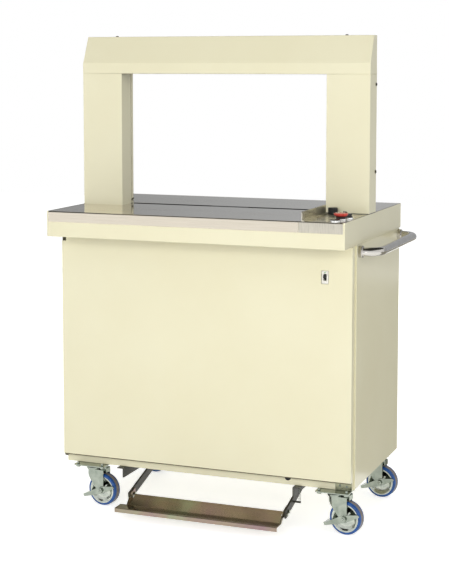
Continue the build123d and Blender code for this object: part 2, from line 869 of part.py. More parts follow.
def push_handle():
    """Bent tube welded to two round flanges on the cabinet's right side."""
    root = half_cabinet + flange_length / 2
    reach = half_cabinet + handle_reach
    path = FilletPolyline((root, handle_front, handle_z), (reach, handle_front, handle_z),
                          (reach, handle_back, handle_z), (root, handle_back, handle_z),
                          radius=handle_bend)
    start = Plane(origin=(root, handle_front, handle_z), z_dir=(1, 0, 0))
    tube = sweep(start * Circle(handle_radius), path=path)
    for y in (handle_front, handle_back):
        flange = rod_x(flange_radius, half_cabinet, half_cabinet + flange_length, y, handle_z)
        tube += fillet(flange.edges().group_by(Axis.X)[-1], 2.0)
    return tube


def bolt_places(x, y):
    """Four bolts of one caster plate, square to the cabinet."""
    return [(x + i * mount_spacing_x / 2, y + j * mount_spacing_y / 2)
            for i in (-1, 1) for j in (-1, 1)]


mount_bottom = cabinet_bottom - mount_thickness


def caster_plate(x, y):
    """Bolted top plate with the fixed race of the swivel under it."""
    top = slab(x - mount_length / 2, x + mount_length / 2, y - mount_width / 2,
               y + mount_width / 2, mount_bottom, cabinet_bottom)
    top = fillet(top.edges().filter_by(Axis.Z), 6.0)
    for bolt_x, bolt_y in bolt_places(x, y):
        top -= rod_z(bolt_radius + bolt_clearance, bolt_x, bolt_y, mount_bottom, cabinet_bottom)
    race = rod_z(race_radius, x, y, mount_bottom - race_height, mount_bottom)
    race = chamfer(race.edges().group_by(Axis.Z)[0], 2.0)
    return top + race - rod_z(kingpin_radius + running_gap, x, y,
                              mount_bottom - race_height, cabinet_bottom)


def caster_plates():
    return [caster_plate(x, y) for x, y in caster_places]


def caster_bolts():
    """Hexagon bolts from below, through each plate into the frame's corner pads."""
    bolts = []
    for x, y in caster_places:
        for bolt_x, bolt_y in bolt_places(x, y):
            head = hex_z(bolt_flats, bolt_x, bolt_y, mount_bottom - bolt_head, mount_bottom)
            bolts.append(head + rod_z(bolt_radius, bolt_x, bolt_y, mount_bottom,
                                      cabinet_bottom + pad_thickness))
    return bolts


def caster_fork():
    """Pressed fork about the kingpin at x = y = 0, trailing towards +X."""
    outer_half = fork_half + fork_sheet
    trailing = wheel_offset + fork_boss - 4.0
    arm = Pos(trailing / 2, 0) * Rectangle(trailing, 2 * outer_half)
    outline = Circle(outer_half) + arm
    room = Circle(fork_half) + Pos(trailing, 0) * Rectangle(2 * trailing, 2 * fork_half)
    low = wheel_radius - fork_boss
    wall = Pos(0, 0, low) * extrude(outline - room, fork_top - low)
    keep = front_profile([
        (-outer_half - 1, fork_top), (-outer_half - 1, fork_top - 9),
        (wheel_offset - fork_boss * 0.85, wheel_radius - fork_boss * 0.5),
        (trailing - 1.0, wheel_radius - 2), (trailing + 3.0, fork_top)],
        -outer_half, outer_half)
    keep += rod_y(fork_boss, wheel_offset, -outer_half, outer_half, wheel_radius)
    fork = wall & keep
    fork += Pos(0, 0, fork_top - fork_sheet) * extrude(outline, fork_sheet)
    head_top = mount_bottom - race_height - seat_gap
    head = rod_z(head_radius, 0, 0, fork_top - 1, head_top)
    fork += head + rod_z(kingpin_radius, 0, 0, head_top - 1, cabinet_bottom - 1)
    fork += rod_y(axle_radius, wheel_offset, -outer_half - 9, outer_half + 9, wheel_radius)
    nut = Plane.XZ * Pos(wheel_offset, wheel_radius) * RegularPolygon(
        axle_nut_flats / 2, 6, major_radius=False)
    nut = extrude(nut, axle_nut_height)
    inner_face = outer_half + lever_gap * 2 + lever_plate
    fork += Pos(0, -inner_face, 0) * nut
    fork += Pos(0, inner_face + axle_nut_height, 0) * nut
    block = slab(wheel_offset - 6, wheel_offset + 14, -block_half, block_half,
                 fork_top - block_drop, mount_bottom - bolt_head - lever_gap)
    block = fillet(block.edges().filter_by(Axis.Y), 2.0)
    return fork + block


def caster_wheel():
    """Zinc-plated disc wheel: two pressed dishes and a hub, turned about the axle."""
    hub_half = fork_half - seat_gap
    rim_radius = wheel_radius - tyre_thickness
    half = rim_width / 2
    bore = axle_radius + running_gap
    right = [(bore, hub_half), (hub_radius, hub_half), (hub_radius + 1, half * 0.8),
             (hub_radius + 7, half * 0.45), (rim_radius - 9, half * 0.4),
             (rim_radius - 3, half), (rim_radius, half)]
    left = [(r, -y) for r, y in reversed(right)]
    profile = make_face(Polyline(*right, *left, close=True))
    return Pos(wheel_offset, 0, wheel_radius) * revolve(profile, Axis.Y)


def caster_tyre():
    """Polyurethane tyre with rounded shoulders, moulded over the rim."""
    inner = wheel_radius - tyre_thickness + running_gap / 2
    profile = Pos((inner + wheel_radius) / 2, 0) * Rectangle(wheel_radius - inner, tyre_width)
    shoulders = profile.vertices().group_by(Axis.X)[-1]
    profile = fillet(shoulders, tyre_shoulder)
    return Pos(wheel_offset, 0, wheel_radius) * revolve(profile, Axis.Y)


def caster_brake():
    """Foot lever of two side plates about the axle, joined by the pedal in front."""
    inner = fork_half + fork_sheet + lever_gap
    pedal_x = wheel_offset - pedal_reach
    pedal_z = wheel_radius - pedal_drop
    tail_x = wheel_offset + tail_reach
    tail_z = wheel_radius + tail_rise
    eye = [Pos(wheel_offset, wheel_radius) * e for e in Circle(11).edges()]
    front_arm = make_hull(eye + [Pos(pedal_x + 4, pedal_z) * e for e in Circle(4).edges()])
    tail = make_hull(eye + [Pos(tail_x - 4, tail_z) * e for e in Circle(4).edges()])
    bore = Pos(wheel_offset, wheel_radius) * Circle(axle_radius + running_gap)
    near = extrude(Plane.XZ * (front_arm + tail - bore), lever_plate)
    far = extrude(Plane.XZ * (front_arm - bore), lever_plate)
    lever = Pos(0, inner + lever_plate, 0) * far + Pos(0, -inner, 0) * near
    angle = degrees(atan2(pedal_drop, pedal_reach))
    pedal = Box(pedal_length, 2 * inner + 2 * lever_plate, lever_plate)
    pedal = fillet(pedal.edges().filter_by(Axis.Z).group_by(Axis.X)[0], 6.0)
    place = Pos(pedal_x + pedal_length / 2 - 4, 0, pedal_z + 4)
    return lever + place * Rot(0, -angle, 0) * pedal


def at_caster(index, shape):
    x, y = caster_places[index]
    return Pos(x, y, 0) * Rot(0, 0, caster_turn) * shape


tread_back = treadle_front + tread_depth
slope_back = tread_back + slope_depth
slope_angle = atan2(slope_rise, slope_depth)
slope_top = tread_height + slope_rise
right_arm_x = treadle_right
left_arm_x = treadle_left + left_arm_inset


def arm_point(along, across):
    """Point on an arm: along it from the pivot towards the pedal, and across it."""
    angle = radians(arm_angle)
    return (pivot_y - along * cos(angle) - across * sin(angle),
            pivot_z - along * sin(angle) + across * cos(angle))


def treadle_plate():
    """Folded foot plate: lip, tread and slope, with an ear for each arm."""
    t = treadle_sheet
    bend = t * tan(slope_angle / 2)
    points = [(treadle_front, tread_height - treadle_lip), (treadle_front, tread_height),
              (tread_back, tread_height), (slope_back, slope_top),
              (slope_back + t * sin(slope_angle), slope_top - t * cos(slope_angle)),
              (tread_back + bend, tread_height - t), (treadle_front + t, tread_height - t),
              (treadle_front + t, tread_height - treadle_lip)]
    foot = side_profile(points, treadle_left, treadle_right)
    foot -= slab(treadle_left, left_arm_x + arm_thickness, tread_back + bend, slope_back + t,
                 tread_height - t, slope_top)
    half = arm_width / 2
    ear = [(tread_back - t, tread_height - t), (tread_back - t, tread_height + t),
           arm_point(arm_length, half - 2), arm_point(arm_length - ear_length, half - 2),
           arm_point(arm_length - ear_length, -half + 2), (slope_back, slope_top - t)]
    for x0, relief in ((left_arm_x + arm_thickness, ear_sheet), (right_arm_x - ear_sheet, 0)):
        relief_x = x0 + relief if relief else x0 - head_relief
        foot -= slab(relief_x, relief_x + head_relief, head_relief_front, slope_back + t,
                     tread_height, slope_top)
        foot += side_profile(ear, x0, x0 + ear_sheet)
        for y, z in arm_bolts:
            foot -= rod_x(arm_bolt_radius, x0, x0 + ear_sheet, y, z)
    return foot


def treadle_arms():
    """Two flat bars welded to the pivot shaft, and the pin for the spring."""
    half = arm_width / 2
    bar = [arm_point(arm_length, half), arm_point(0, half),
           arm_point(0, -half), arm_point(arm_length, -half)]
    shaft = rod_x(shaft_radius, bracket_left - 4, bracket_right + bracket_sheet + 4,
                  pivot_y, pivot_z)
    for x0 in (left_arm_x, right_arm_x):
        arm = side_profile(bar, x0, x0 + arm_thickness)
        arm += rod_x(half, x0, x0 + arm_thickness, pivot_y, pivot_z)
        for y, z in arm_bolts:
            arm -= rod_x(arm_bolt_radius, x0, x0 + arm_thickness, y, z)
        shaft += arm
    pin_end = right_arm_x + arm_thickness + spring_pin_reach
    return shaft + rod_x(spring_pin_radius, right_arm_x - 4, pin_end, spring_pin_y, spring_pin_z)


def treadle_bolts():
    bolts = []
    for x0 in (left_arm_x, right_arm_x - ear_sheet):
        x1 = x0 + arm_thickness + ear_sheet
        for y, z in arm_bolts:
            head_in = hex_x(arm_bolt_flats, x0 - arm_bolt_head, x0, y, z)
            head_out = hex_x(arm_bolt_flats, x1, x1 + arm_bolt_head, y, z)
            bolts.append(rod_x(arm_bolt_radius, x0, x1, y, z) + head_in + head_out)
    return bolts


def treadle_brackets():
    """Plates under the frame that carry the treadle's shaft."""
    brackets = []
    for x0, flange_x in ((bracket_left, bracket_left - bracket_flange + bracket_sheet),
                         (bracket_right, bracket_right)):
        web = slab(x0, x0 + bracket_sheet, bracket_front, bracket_back,
                   pivot_z - shaft_radius - bracket_margin, cabinet_bottom)
        web = chamfer(web.edges().filter_by(Axis.X).group_by(Axis.Z)[0], 2.0)
        flange = slab(flange_x, flange_x + bracket_flange, bracket_front, bracket_back,
                      cabinet_bottom - bracket_flange_sheet, cabinet_bottom)
        bracket = web + flange
        brackets.append(bracket - rod_x(shaft_radius + running_gap, x0, x0 + bracket_sheet,
                                        pivot_y, pivot_z))
    return brackets


spring_x = right_arm_x + arm_thickness + spring_pin_reach - 4.0
spring_low = spring_pin_z + spring_pin_radius + seat_gap
spring_high = cabinet_bottom - bracket_flange_sheet - seat_gap


def helix_point(turns):
    """Point and direction of the spring's centre line, that many turns up."""
    radius = spring_radius - spring_wire / 2
    rise = spring_high - spring_low - spring_wire
    angle = 2 * pi * turns
    place = Vector(spring_x + radius * cos(angle), spring_pin_y + radius * sin(angle),
                   spring_low + spring_wire / 2 + rise * turns / spring_turns)
    heading = Vector(-radius * sin(angle), radius * cos(angle), rise / spring_turns / (2 * pi))
    return place, heading.normalized()


def biarc(start, start_way, end, end_way):
    """Two arcs that join two points and keep the given directions at both."""
    gap = end - start
    ways = start_way + end_way
    a = ways.dot(ways) - 4
    b = -2 * gap.dot(ways)
    reach = (-b - sqrt(b * b - 4 * a * gap.dot(gap))) / (2 * a)
    first = start + start_way * reach
    last = end - end_way * reach
    joint = (first + last) * 0.5
    return [TangentArc(start, joint, tangent=start_way),
            TangentArc(joint, end, tangent=last - first)]


def return_spring():
    """One unbroken wire wound over half-turn biarcs of a helix."""
    arcs = []
    for index in range(int(2 * spring_turns)):
        here, way = helix_point(index / 2)
        there, next_way = helix_point((index + 1) / 2)
        arcs += biarc(here, way, there, next_way)
    path = Wire([arc.edge() for arc in arcs])
    start, way = helix_point(0)
    points = [path.position_at(i / 400) for i in range(401)]
    apart = int(400 / spring_turns * 0.6)
    least = min((points[i] - points[j]).length
                for i in range(401) for j in range(i + apart, 401))
    print(f"return_spring: least gap between turns {least - spring_wire:.2f} mm")
    return sweep(Plane(origin=start, z_dir=way) * Circle(spring_wire / 2), path=path)


reel_back = reel_front + reel_width


def strap_reel():
    """Spool: two pierced flanges on a core tube, with a long boss on the shaft."""
    t = reel_flange_sheet
    bore = reel_shaft_radius + running_gap
    flange = rod_y(reel_flange_radius, reel_x, reel_front, reel_front + t, reel_z)
    for index in range(reel_holes):
        angle = radians(360 / reel_holes * index)
        flange -= rod_y(reel_hole_radius, reel_x + reel_hole_ring * cos(angle),
                        reel_front, reel_front + t, reel_z + reel_hole_ring * sin(angle))
    spool = flange + Pos(0, reel_width - t, 0) * flange
    core = rod_y(reel_core_radius, reel_x, reel_front, reel_back, reel_z)
    core -= rod_y(reel_core_radius - reel_core_wall, reel_x, reel_front + t, reel_back - t, reel_z)
    boss = rod_y(reel_boss_radius, reel_x, reel_front, reel_back, reel_z)
    return spool + core + boss - rod_y(bore, reel_x, reel_front, reel_back, reel_z)


def strap_coil():
    t = reel_flange_sheet
    coil = rod_y(coil_radius, reel_x, reel_front + t + 0.1, reel_back - t - 0.1, reel_z)
    return coil - rod_y(reel_core_radius + 0.1, reel_x, reel_front, reel_back, reel_z)


def reel_stand():
    """Upright with the reel's shaft, standing on the floor pan."""
    floor = rail_top + panel_sheet
    back = reel_back + seat_gap + 4
    upright = slab(reel_x - stand_width / 2, reel_x + stand_width / 2, back, back + stand_sheet,
                   floor, reel_z + stand_width / 2)
    foot = slab(reel_x - stand_width / 2, reel_x + stand_width / 2, back - stand_foot, back,
                floor, floor + stand_sheet)
    shaft = rod_y(reel_shaft_radius, reel_x, reel_front - 12, back + stand_sheet / 2, reel_z)
    collar = rod_y(reel_boss_radius, reel_x, reel_back + seat_gap, back, reel_z)
    keeper = rod_y(reel_boss_radius, reel_x, reel_front - 8, reel_front - seat_gap, reel_z)
    return upright + foot + shaft + collar + keeper


def sealing_head():
    """Plates that carry the press bars under the slide and the feed rollers' shafts."""
    top = table_height - slide_height
    front = slot_y - head_gap
    back = slot_y + head_gap
    head_top = table_height - foot_depth
    head = slab(head_left, head_right, back, back + head_plate, head_bottom, head_top)
    head += slab(head_left, roller_x - feed_roller_radius - head_gap, front - head_plate, front,
                 head_top - front_plate_height, head_top)
    bars_left = -slide_length / 2
    pitch = slide_length / press_count
    for index in range(press_count):
        x0 = bars_left + pitch * index + (pitch - press_width) / 2
        head += slab(x0, x0 + press_width, front - head_plate, back + head_plate,
                     top - press_drop, head_top)
        head += slab(x0, x0 + press_width, slot_front + seat_gap, slot_back - seat_gap,
                     head_top - 1, top)
    for z in (feed_roller_z, feed_roller_z - roller_spacing):
        head -= rod_y(roller_shaft + running_gap, roller_x, back, back + head_plate, z)
    return head


roller_spacing = feed_roller_radius + pinch_roller_radius + strap_thickness


def roller(radius, z):
    back = slot_y + head_gap + head_plate
    wheel = rod_y(radius, roller_x, slot_y - roller_width / 2, slot_y + roller_width / 2, z)
    shaft = rod_y(roller_shaft, roller_x, slot_y, back + 4, z)
    keyway = rod_y(roller_shaft - 2, roller_x, slot_y - roller_width / 2 - 3, slot_y, z)
    return wheel + shaft + keyway


def feed_roller():
    return roller(feed_roller_radius, feed_roller_z)


def pinch_roller():
    return roller(pinch_roller_radius, feed_roller_z - roller_spacing)


def drive_motor():
    """Finned motor on its gearbox, flanged to the back of the sealing head."""
    face = slot_y + head_gap + head_plate
    half = gearbox_size / 2
    box = slab(motor_x - half, motor_x + half, face, face + gearbox_depth,
               motor_z - half, motor_z + half)
    box = fillet(box.edges().filter_by(Axis.Y), 8.0)
    start = face + gearbox_depth
    can = rod_y(motor_radius, motor_x, start, start + motor_length, motor_z)
    pitch = (motor_length - 2 * motor_end) / motor_fins
    for index in range(motor_fins):
        y = start + motor_end + pitch * index
        can += rod_y(motor_radius + fin_height, motor_x, y, y + pitch / 2, motor_z)
    return box + can


def electric_box():
    """Control box on the rear panel, open to the back."""
    front = frame_back - box_depth
    box = slab(box_left, box_right, front, frame_back, box_bottom, box_bottom + box_height)
    room = slab(box_left + box_sheet, box_right - box_sheet, front + box_sheet, frame_back,
                box_bottom + box_sheet, box_bottom + box_height - box_sheet)
    return box - room


def build_nodes():
    """Every node's name with its solids, in the drawing's own place."""
    column = right_column()
    side = right_side_panel()
    nodes = {
        "cabinet_frame": cabinet_frame(),
        "left_side_panel": mirrored(side),
        "right_side_panel": side,
        "rear_panel": rear_panel(),
        "floor_pan": floor_pan(),
        "front_door": front_door(),
        "door_hinges": door_hinges(),
        "table_frame": table_frame(),
        "front_table_plate": front_table_plate(),
        "rear_table_plate": rear_table_plate(),
        "control_panel": control_panel(),
        "panel_guard": panel_guard(),
        "left_column": mirrored(column),
        "right_column": column,
        "beam_cover": beam_cover(),
        "arch_rear_covers": arch_rear_covers(),
        "arch_track": arch_track(),
        "slide_plate": slide_plate(),
        "arch_screws": arch_screws(),
        "breaker_body": breaker_body(),
        "breaker_toggle": breaker_toggle(),
        "control_bezels": control_bezels(),
        "start_button": start_button(),
        "stop_button": stop_button(),
        "mode_selector": mode_selector(),
        "reset_selector": reset_selector(),
        "tension_knob": tension_knob(),
        "push_handle": push_handle(),
        "treadle_plate": treadle_plate(),
        "treadle_arms": treadle_arms(),
        "treadle_bolts": treadle_bolts(),
        "treadle_brackets": treadle_brackets(),
        "return_spring": return_spring(),
        "caster_plates": caster_plates(),
        "caster_bolts": caster_bolts(),
        "strap_reel": strap_reel(),
        "strap_coil": strap_coil(),
        "reel_stand": reel_stand(),
        "sealing_head": sealing_head(),
        "feed_roller": feed_roller(),
        "pinch_roller": pinch_roller(),
        "drive_motor": drive_motor(),
        "electric_box": electric_box(),
    }
    fork, wheel, tyre, brake = caster_fork(), caster_wheel(), caster_tyre(), caster_brake()
    for index, corner in enumerate(("front_left", "front_right", "rear_left", "rear_right")):
        nodes[f"{corner}_fork"] = at_caster(index, fork)
        nodes[f"{corner}_wheel"] = at_caster(index, wheel)
        nodes[f"{corner}_tyre"] = at_caster(index, tyre)
        nodes[f"{corner}_brake"] = at_caster(index, brake)
    return nodes


# The outline's middle, from the pieces that reach furthest each way
outline_left = -(column_outer + screw_head)
outline_right = max(half_length, half_cabinet + handle_reach + handle_radius)
outline_front = min(-half_depth, treadle_front)
outline_back = max(half_depth, cabinet_back)
shift_x = -(outline_left + outline_right) / 2
shift_y = -(outline_front + outline_back) / 2


def main():
    os.makedirs("parts", exist_ok=True)
    to_origin = Pos(shift_x, shift_y, 0)
    for name, shape in build_nodes().items():
        solids = shape if isinstance(shape, list) else [shape]
        placed = [to_origin * solid for solid in solids]
        body = placed[0] if len(placed) == 1 else Compound(children=placed)
        export_step(body, f"parts/{name}.step")


main()
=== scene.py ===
import json
import math

import bmesh
import bpy
from mathutils import Matrix, Vector


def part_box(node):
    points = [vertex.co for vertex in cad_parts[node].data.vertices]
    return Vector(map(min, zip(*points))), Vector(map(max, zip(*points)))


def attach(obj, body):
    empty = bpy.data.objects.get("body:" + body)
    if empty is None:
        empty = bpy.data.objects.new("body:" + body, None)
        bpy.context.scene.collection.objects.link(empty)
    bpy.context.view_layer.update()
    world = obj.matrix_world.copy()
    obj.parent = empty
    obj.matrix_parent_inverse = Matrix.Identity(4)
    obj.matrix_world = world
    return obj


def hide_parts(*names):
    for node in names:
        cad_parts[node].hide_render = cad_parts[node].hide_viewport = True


# Strapping machine: finishes, small details, floor, lights and the photo's camera.
# One Blender unit is a metre, and every piece is in the CAD frame.

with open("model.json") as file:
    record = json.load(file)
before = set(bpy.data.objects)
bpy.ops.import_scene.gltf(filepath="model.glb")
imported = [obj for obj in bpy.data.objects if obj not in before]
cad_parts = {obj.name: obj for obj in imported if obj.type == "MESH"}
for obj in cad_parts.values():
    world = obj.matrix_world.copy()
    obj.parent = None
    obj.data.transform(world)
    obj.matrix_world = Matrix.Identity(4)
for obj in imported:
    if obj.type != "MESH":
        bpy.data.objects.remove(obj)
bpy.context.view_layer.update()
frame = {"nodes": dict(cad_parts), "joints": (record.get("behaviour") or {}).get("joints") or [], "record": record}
nodes = frame["nodes"]
bodies = frame["record"]["behaviour"]["bodies"]
bodyOf = {node: body for body, members in bodies.items() for node in members}
jointOf = {joint["child"]: joint for joint in frame["joints"]}
corners = ("front_left", "front_right", "rear_left", "rear_right")
mm = 0.001
weldGap = 1e-6  # vertices closer than this, in metres, are one
print("frame loaded:", len(nodes), "nodes")


def linear(hexColour):
    parts = [int(hexColour[i:i + 2], 16) / 255 for i in (0, 2, 4)]
    return [c / 12.92 if c <= 0.04045 else ((c + 0.055) / 1.055) ** 2.4 for c in parts] + [1.0]


def addNode(tree, kind, settings=None, links=None):
    node = tree.nodes.new(kind)
    for name, value in (settings or {}).items():
        if isinstance(name, int) or name in node.inputs:
            node.inputs[name].default_value = value
        else:
            setattr(node, name, value)
    for name, source in (links or {}).items():
        tree.links.new(source, node.inputs[name])
    return node


def startMaterial(name, settings):
    material = bpy.data.materials.new(name)
    material.use_nodes = True
    tree = material.node_tree
    shader = tree.nodes["Principled BSDF"]
    for socket, value in settings.items():
        shader.inputs[socket].default_value = value
    point = addNode(tree, "ShaderNodeTexCoord").outputs["Object"]
    return material, tree, shader, point


def noiseAt(tree, point, sizeMm, detail=2.0, stretch=(1, 1, 1), distortion=0.0):
    spot = addNode(tree, "ShaderNodeMapping", {"Scale": stretch}, {"Vector": point})
    return addNode(tree, "ShaderNodeTexNoise",
                   {"Scale": 1 / (sizeMm * mm), "Detail": detail, "Distortion": distortion},
                   {"Vector": spot.outputs["Vector"]}).outputs["Fac"]


def rampOf(tree, factor, stops):
    ramp = addNode(tree, "ShaderNodeValToRGB", links={"Fac": factor})
    elements = ramp.color_ramp.elements
    while len(elements) < len(stops):
        elements.new(0.5)
    for element, (place, colour) in zip(elements, stops):
        element.position = place
        element.color = linear(colour)
    return ramp.outputs["Color"]


def spanOf(tree, factor, low, high):
    return addNode(tree, "ShaderNodeMapRange",
                   {"From Min": 0.3, "From Max": 0.7, "To Min": low, "To Max": high},
                   {"Value": factor}).outputs["Result"]


def bumpOf(tree, height, strength, depthMm):
    return addNode(tree, "ShaderNodeBump", {"Strength": strength, "Distance": depthMm * mm},
                   {"Height": height}).outputs["Normal"]


creamCoat = {"main": "EFEACB", "shade": "ECE6C5", "driftMm": 260, "peelMm": 2.2, "rough": (0.14, 0.22)}


def powderCoatedSteel():
    # polyester powder baked on steel sheet: even cream, glossy enough at a low angle to
    # show the handle in the side panel, with a faint orange peel
    material, tree, shader, point = startMaterial("powderCoatedSteelCream",
                                                  {"IOR": 1.5, "Metallic": 0.0})
    drift = noiseAt(tree, point, creamCoat["driftMm"], 3)
    colour = rampOf(tree, drift, [(0.3, creamCoat["shade"]), (0.7, creamCoat["main"])])
    tree.links.new(colour, shader.inputs["Base Color"])
    peel = noiseAt(tree, point, creamCoat["peelMm"], 1)  # peel of about 2 mm, as on thick powder
    low, high = creamCoat["rough"]
    tree.links.new(spanOf(tree, peel, low, high), shader.inputs["Roughness"])
    tree.links.new(bumpOf(tree, peel, 0.10, 0.05), shader.inputs["Normal"])
    return material


stainlessTop = {"main": "D6CDBD", "streak": "E0D8CA", "grainMm": 0.9}
brushedPanel = {"main": "BDB8AB", "streak": "DAD5C8", "grainMm": 1.1}


def rolledStainless(name, look, rough, stretch):
    # rolled 304 sheet: close to a mirror, with faint grain along the way it was rolled
    material, tree, shader, point = startMaterial(name, {"Metallic": 1.0, "Anisotropic": 0.4})
    grain = noiseAt(tree, point, look["grainMm"], 2, stretch)  # streaks 75 to 92 mm long
    smear = noiseAt(tree, point, 90, 3, (0.5, 1, 1))
    colour = rampOf(tree, grain, [(0.3, look["main"]), (0.75, look["streak"])])
    tree.links.new(colour, shader.inputs["Base Color"])
    tree.links.new(spanOf(tree, smear, *rough), shader.inputs["Roughness"])
    tree.links.new(bumpOf(tree, grain, 0.05, 0.02), shader.inputs["Normal"])
    return material


def platedSteel(name, stops, spotMm, rough, bump=0.12):
    # plated or oxidised steel and cast zinc: cloudy tone from the bath or the mould, and fine
    # scratches under the finish
    material, tree, shader, point = startMaterial(name, {"Metallic": 1.0})
    cloud = noiseAt(tree, point, spotMm, 3, distortion=0.6)
    scratch = noiseAt(tree, point, 1.4, 2, (1, 1, 0.15))
    tree.links.new(rampOf(tree, cloud, stops), shader.inputs["Base Color"])
    tree.links.new(spanOf(tree, cloud, *rough), shader.inputs["Roughness"])
    tree.links.new(bumpOf(tree, scratch, bump, 0.04), shader.inputs["Normal"])
    return material


def paintedSteel(name, dark, light, rough=(0.35, 0.5)):
    # enamel, primer or scale on bar and sheet: dull, slightly uneven
    material, tree, shader, point = startMaterial(name, {"IOR": 1.5})
    cloud = noiseAt(tree, point, 25, 4)
    skin = noiseAt(tree, point, 3, 2)
    tree.links.new(rampOf(tree, cloud, [(0.35, dark), (0.7, light)]), shader.inputs["Base Color"])
    tree.links.new(spanOf(tree, skin, *rough), shader.inputs["Roughness"])
    tree.links.new(bumpOf(tree, skin, 0.2, 0.06), shader.inputs["Normal"])
    return material


def mouldedPlastic(name, dark, light, rough, grainMm=0.8, bump=0.12):
    # moulded plastic, and the dark strips painted as shade in gaps: even colour with a fine grain
    material, tree, shader, point = startMaterial(name, {"IOR": 1.53})
    tone = noiseAt(tree, point, 12, 2)
    grain = noiseAt(tree, point, grainMm, 1)
    tree.links.new(rampOf(tree, tone, [(0.3, dark), (0.7, light)]), shader.inputs["Base Color"])
    tree.links.new(spanOf(tree, grain, *rough), shader.inputs["Roughness"])
    tree.links.new(bumpOf(tree, grain, bump, 0.03), shader.inputs["Normal"])
    return material


stopCap = {"dark": "C23A2E", "light": "DE4E40", "darkNeckAndShade": "2A1614", "darkNeckAndShadeMm": 7.5}


def redMushroom():
    # glossy red polycarbonate cap; from 7.5 mm below its top down the button is dark, partly the neck's own black
    # and partly painted shade under the cap
    material, tree, shader, point = startMaterial("redPolycarbonate", {"IOR": 1.58})
    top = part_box("stop_button")[1].z
    tone = noiseAt(tree, point, 12, 2)
    height = addNode(tree, "ShaderNodeSeparateXYZ", links={"Vector": point}).outputs["Z"]
    # painted shade: everything lower than this is dark, as if shaded by the cap
    isCap = addNode(tree, "ShaderNodeMath",
                    {"operation": "GREATER_THAN", 1: top - stopCap["darkNeckAndShadeMm"] * mm}, {0: height})
    red = rampOf(tree, tone, [(0.3, stopCap["dark"]), (0.7, stopCap["light"])])
    colour = addNode(tree, "ShaderNodeMix", {"data_type": "RGBA", 6: linear(stopCap["darkNeckAndShade"])},
                     {0: isCap.outputs[0], 7: red})
    tree.links.new(colour.outputs[2], shader.inputs["Base Color"])
    tree.links.new(spanOf(tree, noiseAt(tree, point, 1.2, 1), 0.22, 0.32), shader.inputs["Roughness"])
    return material


woundStrap = {"strap": "D9C65A", "edge": "A8922F", "pitchMm": 2.4}


def polypropyleneStrap():
    # embossed polypropylene strap wound edge on: each layer shows as a thin ring. Real
    # layers are 0.6 mm, and they are drawn four times as thick so that they show
    material, tree, shader, point = startMaterial("polypropyleneStrap", {"IOR": 1.49, "Roughness": 0.42})
    low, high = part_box("strap_coil")
    centre = (low + high) / 2
    around = addNode(tree, "ShaderNodeVectorMath", {"operation": "SUBTRACT", 1: centre}, {0: point})
    flat = addNode(tree, "ShaderNodeVectorMath", {"operation": "MULTIPLY", 1: (1, 0, 1)},
                   {0: around.outputs["Vector"]})
    radius = addNode(tree, "ShaderNodeVectorMath", {"operation": "LENGTH"}, {0: flat.outputs["Vector"]})
    turns = addNode(tree, "ShaderNodeMath", {"operation": "DIVIDE", 1: woundStrap["pitchMm"] * mm},
                    {0: radius.outputs["Value"]})
    layer = addNode(tree, "ShaderNodeMath", {"operation": "PINGPONG", 1: 0.5},
                    {0: turns.outputs["Value"]})
    colour = rampOf(tree, layer.outputs["Value"],
                    [(0.05, woundStrap["edge"]), (0.3, woundStrap["strap"])])
    tree.links.new(colour, shader.inputs["Base Color"])
    tree.links.new(bumpOf(tree, layer.outputs["Value"], 0.5, 0.4), shader.inputs["Normal"])
    return material


tyreBlue = {"side": "1F5AA6", "deep": "184684"}


def castPolyurethane():
    # cast polyurethane tyre: clear blue, glossy on the side, dusty where it rolls
    material, tree, shader, point = startMaterial("castPolyurethaneBlue", {"IOR": 1.5})
    cloud = noiseAt(tree, point, 9, 3)
    tree.links.new(rampOf(tree, cloud, [(0.3, tyreBlue["deep"]), (0.7, tyreBlue["side"])]),
                   shader.inputs["Base Color"])
    tree.links.new(spanOf(tree, cloud, 0.26, 0.4), shader.inputs["Roughness"])
    tree.links.new(bumpOf(tree, noiseAt(tree, point, 1.5, 2), 0.1, 0.05), shader.inputs["Normal"])
    return material


